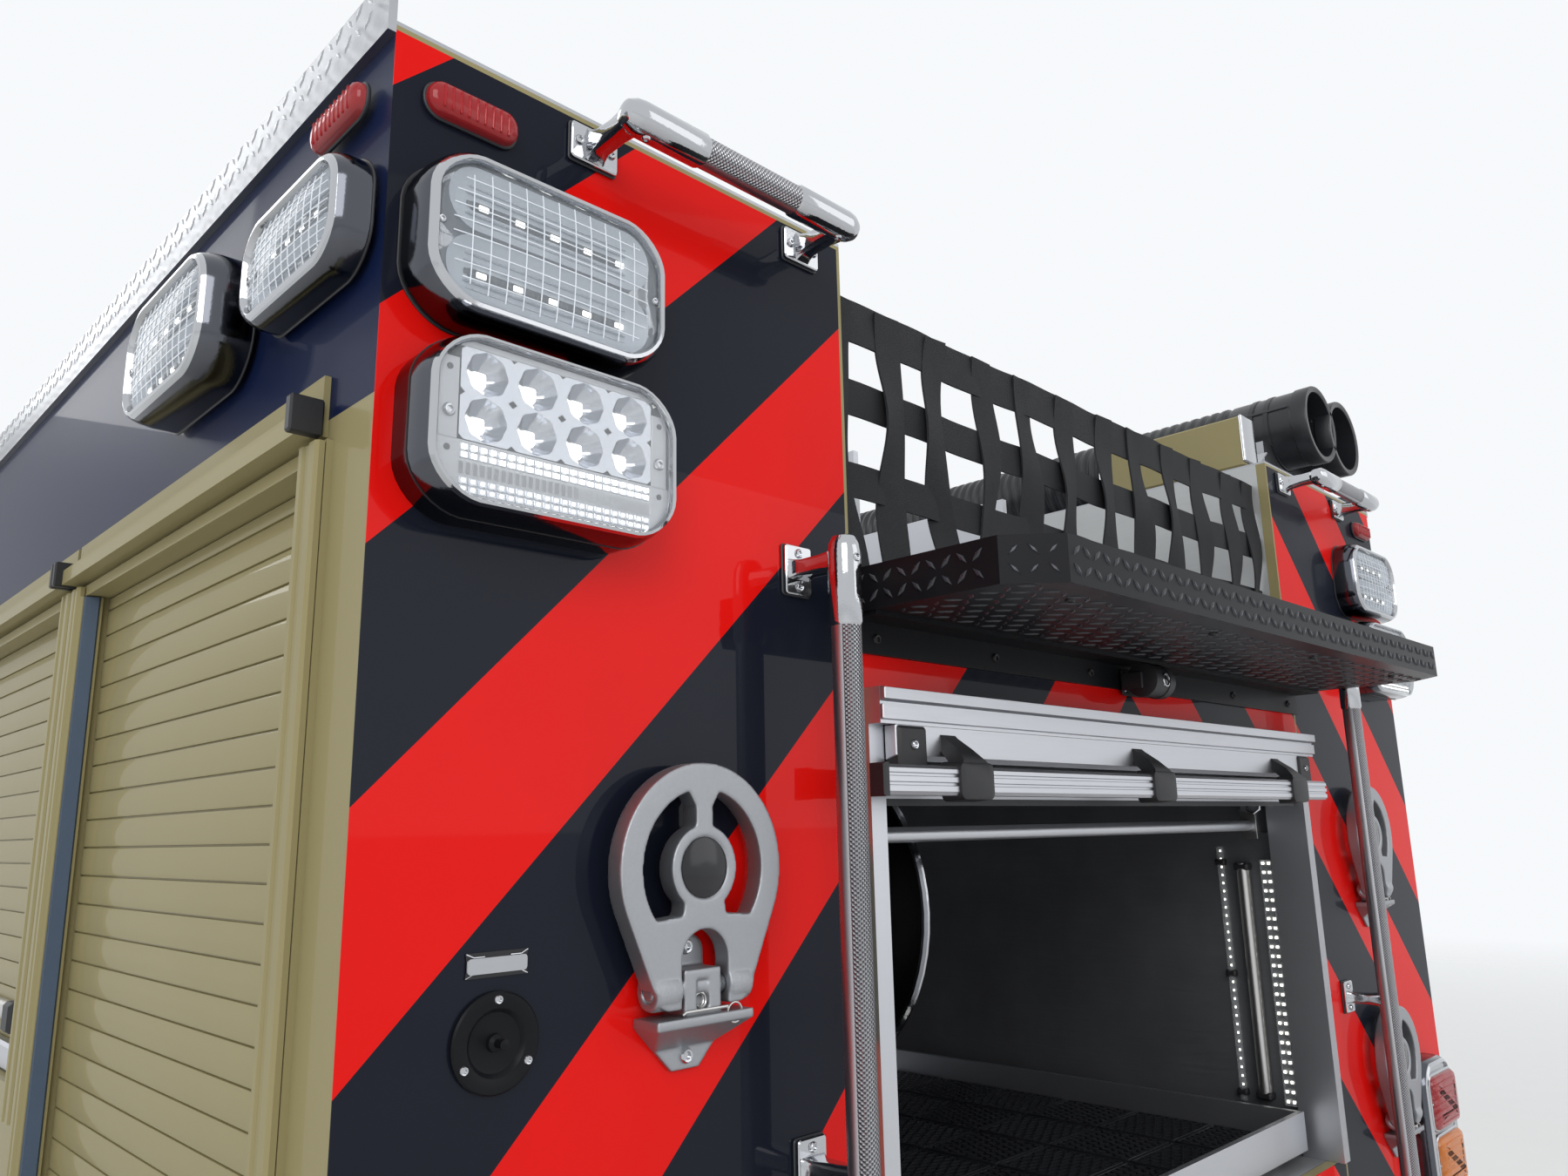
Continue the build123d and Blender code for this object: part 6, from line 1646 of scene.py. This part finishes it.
lightBar = Piece("lightBar", "blackPlastic").at(barPlace)
lightBar.skin([[(x * share, y * share, level) for x, y in outline] for share, level in ((0.985, base),
                   (1.0, base + 0.006), (1.0, base + 0.02), (0.985, base + 0.024))])
for side in (1, -1):
    lightBar.wear("chrome").block((side * 0.43, -0.09, barLow.z), (side * 0.5, 0.09, base), 0.004)
    for v in (-0.07, 0.07):
        lightBar.wear("blackPlastic").block((side * 0.42, v - 0.018, barLow.z),
            (side * 0.51, v + 0.018, barLow.z + 0.006), 0.002)
domes = {"edges": (-0.695, -0.42, -0.15, 0.15, 0.42, 0.695), "colours": ("redLens", "redLens", "clearLens",
             "redLens", "redLens")}
for index, colour in enumerate(domes["colours"]):
    start, end = domes["edges"][index] + 0.003, domes["edges"][index + 1] - 0.003
    dome = between(start, end, 0.02)
    lightBar.wear(colour)
    middle = (start + end) / 2
    rings = []
    for share, level in ((1.0, base + 0.024), (0.985, base + 0.055), (0.96, top - 0.022), (0.9, top - 0.006),
                         (0.8, top)):
        rings.append([(middle + (x - middle) * share, y * share, level) for x, y in dome])
    lightBar.skin(rings)
    for v in (-1, 1):
        # reflector tiers that show through the dome
        lightBar.wear("reflector").block((start + 0.03, v * 0.06, base + 0.03),
            (end - 0.03, v * 0.105, base + 0.058), 0.006)
        for lamp in range(6):
            u = start + 0.045 + lamp * (end - start - 0.09) / 5
            lightBar.wear("litChip" if colour == "clearLens" else "redLens")
            lightBar.block((u - 0.008, v * 0.1, base + 0.036), (u + 0.008, v * 0.11, base + 0.052), 0.003)
    lightBar.wear(colour)
    for rib in range(1, 12):
        u = start + rib * (end - start) / 12
        lightBar.slab(u, 0, 0.0015, 0.128, base + 0.026, top - 0.02, 0.001)
lightBar.done(replaces=["light_bar"], slot="lamp_red")


# Cab glass: rubber gaskets, wipers, mirror glass and the cowl grille

def gasket(piece, path, inner, outer, low, high):
    # Rubber channel that follows a closed outline
    piece.stepped(path, ((-outer, low), (-outer, high * 0.6), (-outer * 0.4, high), (inner * 0.6, high),
                         (inner, high * 0.5), (inner, low)), looped=True)


windscreen = {"y": 0.72, "z": 1.73, "back": 0.58, "up": 0.56}
rise = Vector((0, windscreen["back"], windscreen["up"])).normalized()
out = Vector((0, -rise.z, rise.y))
screen = Matrix(((1, 0, 0, 0), (0, rise.y, out.y, frontAxleY + windscreen["y"]),
                 (0, rise.z, out.z, windscreen["z"]), (0, 0, 0, 1)))
pane = [(0.76, 0.348), (-0.76, 0.348), (-0.921, -0.348), (0.921, -0.348)]
trim = Piece("cabGaskets", "rubber").at(screen)
gasket(trim, rounded(pane, 0.06, 6), 0.012, 0.014, -0.03, 0.006)
for side in (1, -1):
    # wiper arm, its knuckle and the blade with its clips
    root = Vector((side * 0.31 - 0.19, -0.375, 0.012))
    tip = root + Vector((0.3, 0.13, 0.012))
    trim.wear("blackPlastic").tube([root, root + Vector((0.05, 0.06, 0.016)), tip], 0.006, 8)
    trim.slab(root.x, root.y, 0.018, 0.016, -0.004, 0.02, 0.005)
    trim.tube([tip + Vector((-0.2, -0.02, -0.009)), tip + Vector((0, 0, -0.005)),
               tip + Vector((0.22, 0.02, -0.009))], 0.0055, 8)
    for share in (-0.12, 0.0, 0.13):
        trim.block((tip.x + share - 0.012, tip.y - 0.008 + share * 0.1, 0.006), (tip.x + share + 0.012,
                       tip.y + 0.008 + share * 0.1, 0.02), 0.003)
trim.at(flat(0, frontAxleY + 0.4, 1.444))
for fin in range(90):
    u = (fin - 44.5) * 0.02
    if not 0.62 < abs(u) < 0.72:
        trim.block((u - 0.004, -0.018, 0.0), (u + 0.004, 0.022, 0.004), 0.001)
trim.done(slot="rubber")


# Splash panels that close the sides of the engine bay under the hood

def hoodUnder(y):
    # height of the hood's underside, through three points of its arc: back, middle, front
    knots = {0.352: 1.398, -0.29: 1.366, -0.752: 1.264}
    total = 0
    for here, height in knots.items():
        share = height
        for other in knots:
            if other != here:
                share *= (y - other) / (here - other)
        total += share
    return total


splash = Piece("splashPanels", "frameBlack")
steps = [0.34 - 1.09 * step / 20 for step in range(21)]
outline = [(y, hoodUnder(y) - 0.008) for y in steps] + [(-0.75, 1.15), (0.34, 1.15)]
for side in (1, -1):
    splash.at(facing(1, side * 0.826, frontAxleY, 0))
    splash.prism(outline, -0.003, 0.003)
splash.done(slot="frame_black")

lean = Vector((0, -0.13, 0.61)).normalized()
windowPath = [(0.71, 1.47), (1.6, 1.47), (1.59, 1.9), (1.2, 1.9), (0.71, 1.55)]
for side, hand in hands:
    # u along the cab, v up the leaning side, w out
    place = Matrix(((0, side * lean.y, side * lean.z, side * cab["half"]), (1, 0, 0, frontAxleY),
                    (0, lean.z, -lean.y, cab["belt"]), (0, 0, 0, 1)))
    fittings = Piece("doorFittings_" + hand, "rubber").at(place)
    path = [(y, (z - cab["belt"]) / lean.z) for y, z in windowPath]
    gasket(fittings, rounded(path, 0.03, 5), 0.012, 0.012, -0.03, 0.004)
    # handle: cup, paddle and lock; mirror glass with a round spot mirror
    handle = facing(side, side * (cab["half"] + 0.024), frontAxleY + cab["doorBack"] - 0.15,
                    cab["belt"] - 0.09)
    fittings.at(handle).wear("chrome").slab(0, 0, 0.085, 0.011, 0, 0.006, 0.004)
    fittings.place = handle @ flat(0.125, -0.002, -0.024)
    fittings.lathe([(0.012, 0), (0.0115, 0.003), (0.004, 0.004), (0.0035, 0.002)], 18)
    mirror = Matrix(((-1, 0, 0, side * (cab["half"] + 0.2)), (0, 0, 1, frontAxleY + cab["doorFront"] + 0.235),
                     (0, 1, 0, cab["belt"] + 0.19), (0, 0, 0, 1)))
    fittings.at(mirror).wear("mirrorGlass").prism(roundRect(0.19, 0.21, 0.028, 6), 0.0002, 0.003, 0.001)
    fittings.wear("blackPlastic").block((-0.095, -0.118, 0.0002), (0.095, -0.11, 0.004), 0.001)
    fittings.place = mirror @ flat(0, -0.143, 0)
    fittings.wear("mirrorGlass").block((-0.088, -0.022, 0.0002), (0.088, 0.024, 0.005), 0.002, 0.018)
    fittings.at(facing(side, side * cab["half"], frontAxleY + 1.12, 1.13))
    # belt moulding with end caps
    fittings.wear("rubber").slab(0, 0, 0.53, 0.02, 0, 0.007, 0.004)
    fittings.wear("chrome").slab(0, 0, 0.53, 0.004, 0.006, 0.009, 0.002)
    fittings.done("door_" + hand, slot="rubber")

# Roof markers and side repeaters on the cab, and the fuel door
cabLamps = Piece("cabMarkers", "blackPlastic")
for u in (-0.62, -0.2, 0.0, 0.2, 0.62):
    cabLamps.at(flat(u, frontAxleY + 1.2, cab["roof"]))
    cabLamps.wear("blackPlastic").prism(roundRect(0.105, 0.042, 0.02, 6), 0, 0.004, 0.001)
    cabLamps.wear("amberLens").stepped(roundRect(0.1, 0.038, 0.018, 6), ((0, 0.003), (0.001, 0.012),
            (0.005, 0.018), (0.012, 0.02)))
for side in (1, -1):
    cabLamps.at(facing(side, side * 1.03, frontAxleY - 0.62, 0.98))
    cabLamps.wear("blackPlastic").prism(roundRect(0.13, 0.05, 0.015, 5), -0.001, 0.005, 0.0015)
    cabLamps.wear("amberLens").prism(roundRect(0.118, 0.038, 0.012, 5), 0.004, 0.013, 0.004)
cabLamps.at(facing(1, cab["half"], frontAxleY + 1.86, 1.08))
cabLamps.wear("blackPlastic").prism(roundRect(0.176, 0.176, 0.022, 5), -0.001, 0.0012)
cabLamps.wear("tanPaint").prism(roundRect(0.168, 0.168, 0.018, 5), 0.001, 0.005, 0.0015)
cabLamps.wear("blackPlastic").block((-0.075, -0.02, 0.0045), (-0.06, 0.02, 0.008), 0.002)
cabLamps.done(slot="lamp_red")
print("cab fittings made")


# Pump panels: dials with bezels, ticks and needles, caps with lugs, handle knobs and bare tag plates

pump = {"panel": sideX - 0.066, "middle": (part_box("pump_house")[0].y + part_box("pump_house")[1].y) / 2,
        "dialZ": 1.64, "lowDialZ": 1.5, "suctionZ": 0.86, "dischargeZ": 1.12, "pullZ": 1.33, "lampZ": 1.745,
        "screwX": 0.22}


def dial(piece, place, radius, reading):
    piece.at(place).wear("dialFace").lathe([(radius * 0.9, 0), (radius * 0.9, 0.0012), (0.001, 0.0012)], 40)
    piece.wear("chrome").lathe([(radius * 0.9, 0.0004), (radius, 0.0004), (radius * 0.99, 0.007),
            (radius * 0.94, 0.009), (radius * 0.9, 0.007)], 40, True)
    piece.wear("glossBlack")
    for tick in range(28):
        turn = radians(225 - tick * 10)
        reach = 0.6 if tick % 3 == 0 else 0.7
        piece.place = place @ spun(turn, "Z")
        piece.block((radius * reach, -radius * 0.016, 0.0011), (radius * 0.82, radius * 0.016, 0.0018),
                    0.0002)
    piece.place = place @ spun(radians(225 - 270 * reading), "Z")
    piece.skin([[(-radius * 0.2, -radius * 0.03, level), (radius * 0.68, -radius * 0.01, level),
                 (radius * 0.68, radius * 0.01, level), (-radius * 0.2, radius * 0.03, level)]
                for level in (0.0022, 0.0032)])
    piece.lathe([(radius * 0.12, 0.001), (radius * 0.12, 0.004), (radius * 0.06, 0.005)], 16)


for side, hand in hands:
    def onPanel(u, v, w=0.0):
        return facing(side, side * (pump["panel"] + w), pump["middle"] + u, v)

    panel = Piece("pumpFittings_" + hand, "chrome")
    # across, up, how far its socket stands out, radius, reading
    for u, v, w, radius, reading in (
        (-0.15, pump["dialZ"], 0.018, 0.06, 0.12), (0, pump["dialZ"], 0.018, 0.06, 0.45),
        (0.15, pump["dialZ"], 0.018, 0.06, 0.3), (-0.075, pump["lowDialZ"], 0.016, 0.043, 0.2),
        (0.075, pump["lowDialZ"], 0.016, 0.043, 0.65),
    ):
        dial(panel, onPanel(u, v, w), radius, reading)
    # suction cap with two long lugs, ribs and a hub
    panel.at(onPanel(0, pump["suctionZ"], 0.062)).wear("chrome")
    panel.lathe([(0.086, 0), (0.082, 0.004), (0.05, 0.006), (0.045, 0.009), (0.02, 0.011)], 40)
    for turn in range(4):
        panel.place = onPanel(0, pump["suctionZ"], 0.04) @ spun(pi / 4 + turn * pi / 2, "Z")
        panel.block((0.08, -0.012, -0.004), (0.098, 0.012, 0.02), 0.004)
    # discharge caps: knurled collar, rocker lugs and a ring of bolts on the flange
    for u in (-0.17, 0, 0.17):
        panel.at(onPanel(u, pump["dischargeZ"], 0.0)).wear("satinPlate")
        panel.lathe([(0.064, 0), (0.064, 0.006), (0.06, 0.009), (0.0485, 0.009), (0.0485, 0)], 40, True)
        panel.wear("chrome")
        panel.screws(6, 0.056, 0.0085, 0.005)
        for lug in range(3):
            panel.place = onPanel(u, pump["dischargeZ"], 0.045) @ spun(lug * 2 * pi / 3 + 0.5, "Z")
            panel.block((0.046, -0.008, 0), (0.057, 0.008, 0.02), 0.003)
        panel.at(onPanel(u, pump["dischargeZ"], 0.075)).lathe([(0.046, 0), (0.043, 0.003), (0.022, 0.004),
                (0.02, 0.0015), (0.001, 0.0015)], 32)
    # bare tag plates over the pulls, and the screws round the panel
    for pull in range(6):
        u = -0.175 + 0.07 * pull
        panel.at(onPanel(u, pump["pullZ"])).wear(("dialFace", "redLens", "amberLens", "blackPlastic",
                "slateStrip", "tanPaint")[pull])
        panel.block((-0.022, 0.04, 0), (0.022, 0.058, 0.0018), 0.0005, 0.003)
        panel.wear("chrome").lathe([(0.0195, 0), (0.0195, 0.003), (0.017, 0.006), (0.0115, 0.007),
                (0.0115, 0)], 24, True)
    panel.wear("chrome")
    for row in range(8):
        for u in (-pump["screwX"], pump["screwX"]):
            panel.at(onPanel(u, 0.64 + row * 0.16)).screw(0, 0, 0, 0.006)
    for u in (-0.13, -0.05, 0.05, 0.13):
        panel.at(onPanel(u, pump["lampZ"])).wear("blackPlastic")
        panel.lathe([(0.012, 0), (0.012, 0.004), (0.009, 0.006)], 20)
        panel.wear("redLens" if u < 0 else "clearLens")
        panel.lathe([(0.0075, 0.004), (0.007, 0.009), (0.003, 0.011)], 16)
    panel.done(slot="chrome")
print("pump panels made")


# Stage: floor, lights and the camera where the photograph was taken

stage = {"floor": 60, "fade": (6.0, 16.0), "ground": (0.82, 0.82, 0.81), "sky": (0.93, 0.95, 0.97),
         "skyLight": 0.82}
floorMesh = bpy.data.meshes.new("floor")
edge = stage["floor"]
floorMesh.from_pydata([(-edge, -edge, 0), (edge, -edge, 0), (edge, edge, 0), (-edge, edge, 0)], [],
                      [(0, 1, 2, 3)])
floor = added("floor", floorMesh)
ground = Finish("ground")
# the floor fades into the white background, well beyond the truck's shadow
near, far = stage["fade"]
away = ((ground.x * ground.x + ground.y * ground.y) ** 0.5 - near) / (far - near)
shown = 1 - away.math("MAXIMUM", 0.0).math("MINIMUM", 1.0)
ground.set(Base_Color=ground.worn(stage["ground"], 0.02), Roughness=0.85, Alpha=shown)
floorMesh.materials.append(ground.material)
floor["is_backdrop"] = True

world = bpy.data.worlds.new("studio")
bpy.context.scene.world = world
world.use_nodes = True
sky = world.node_tree
background = sky.nodes["Background"]
background.inputs["Color"].default_value = (*stage["sky"], 1)
path = sky.nodes.new("ShaderNodeLightPath")
level = sky.nodes.new("ShaderNodeMix")
level.inputs["A"].default_value = stage["skyLight"]
level.inputs["B"].default_value = 1.0
# full strength where the sky is seen, in a mirror or through glass too, and less as a light
seen = path.outputs["Is Camera Ray"]
for ray in ("Is Glossy Ray", "Is Transmission Ray"):
    either = sky.nodes.new("ShaderNodeMath")
    either.operation = "MAXIMUM"
    sky.links.new(seen, either.inputs[0])
    sky.links.new(path.outputs[ray], either.inputs[1])
    seen = either.outputs[0]
sky.links.new(seen, level.inputs["Factor"])
sky.links.new(level.outputs["Result"], background.inputs["Strength"])

lights = (
    # name, place from the rear left corner, size, watts
    ("key", (5.0, 4.5, 5.0), 4.0, 190),
    ("fill", (-4.0, 6.0, 4.0), 5.0, 60),
    ("front", (2.0, -11.0, 8.0), 5.0, 260),
)
for name, (right, back, up), size, watts in lights:
    lamp = bpy.data.lights.new(name, "AREA")
    lamp.size = size
    lamp.energy = watts
    holder = added(name, lamp)
    holder.location = (right, rearY + back, up)
    aim = Vector((0, rearY - 1.5, 1.5)) - holder.location
    holder.rotation_mode = "QUATERNION"
    holder.rotation_quaternion = aim.to_track_quat("-Z", "Y")

viewpoint = {
    # found from the vanishing points of the body's edges: place, then the picture's right, up and depth
    "place": (1.59774, rearY + 0.85671, 1.57742),
    "right": (-0.712487, 0.701384, -0.020571),
    "up": (0.134198, 0.164981, 0.977124),
    "back": (0.688733, 0.693428, -0.211671),
    "lens": 25.788,
}
lensData = bpy.data.cameras.new("photo")
lensData.sensor_width = 36
lensData.lens = viewpoint["lens"]
camera = added("photo", lensData)
axes = Matrix((viewpoint["right"], viewpoint["up"], viewpoint["back"])).transposed().to_4x4()
camera.matrix_world = Matrix.Translation(viewpoint["place"]) @ axes
bpy.context.scene.camera = camera
bpy.context.scene.view_settings.view_transform = "Standard"
print("stage set")

low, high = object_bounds()
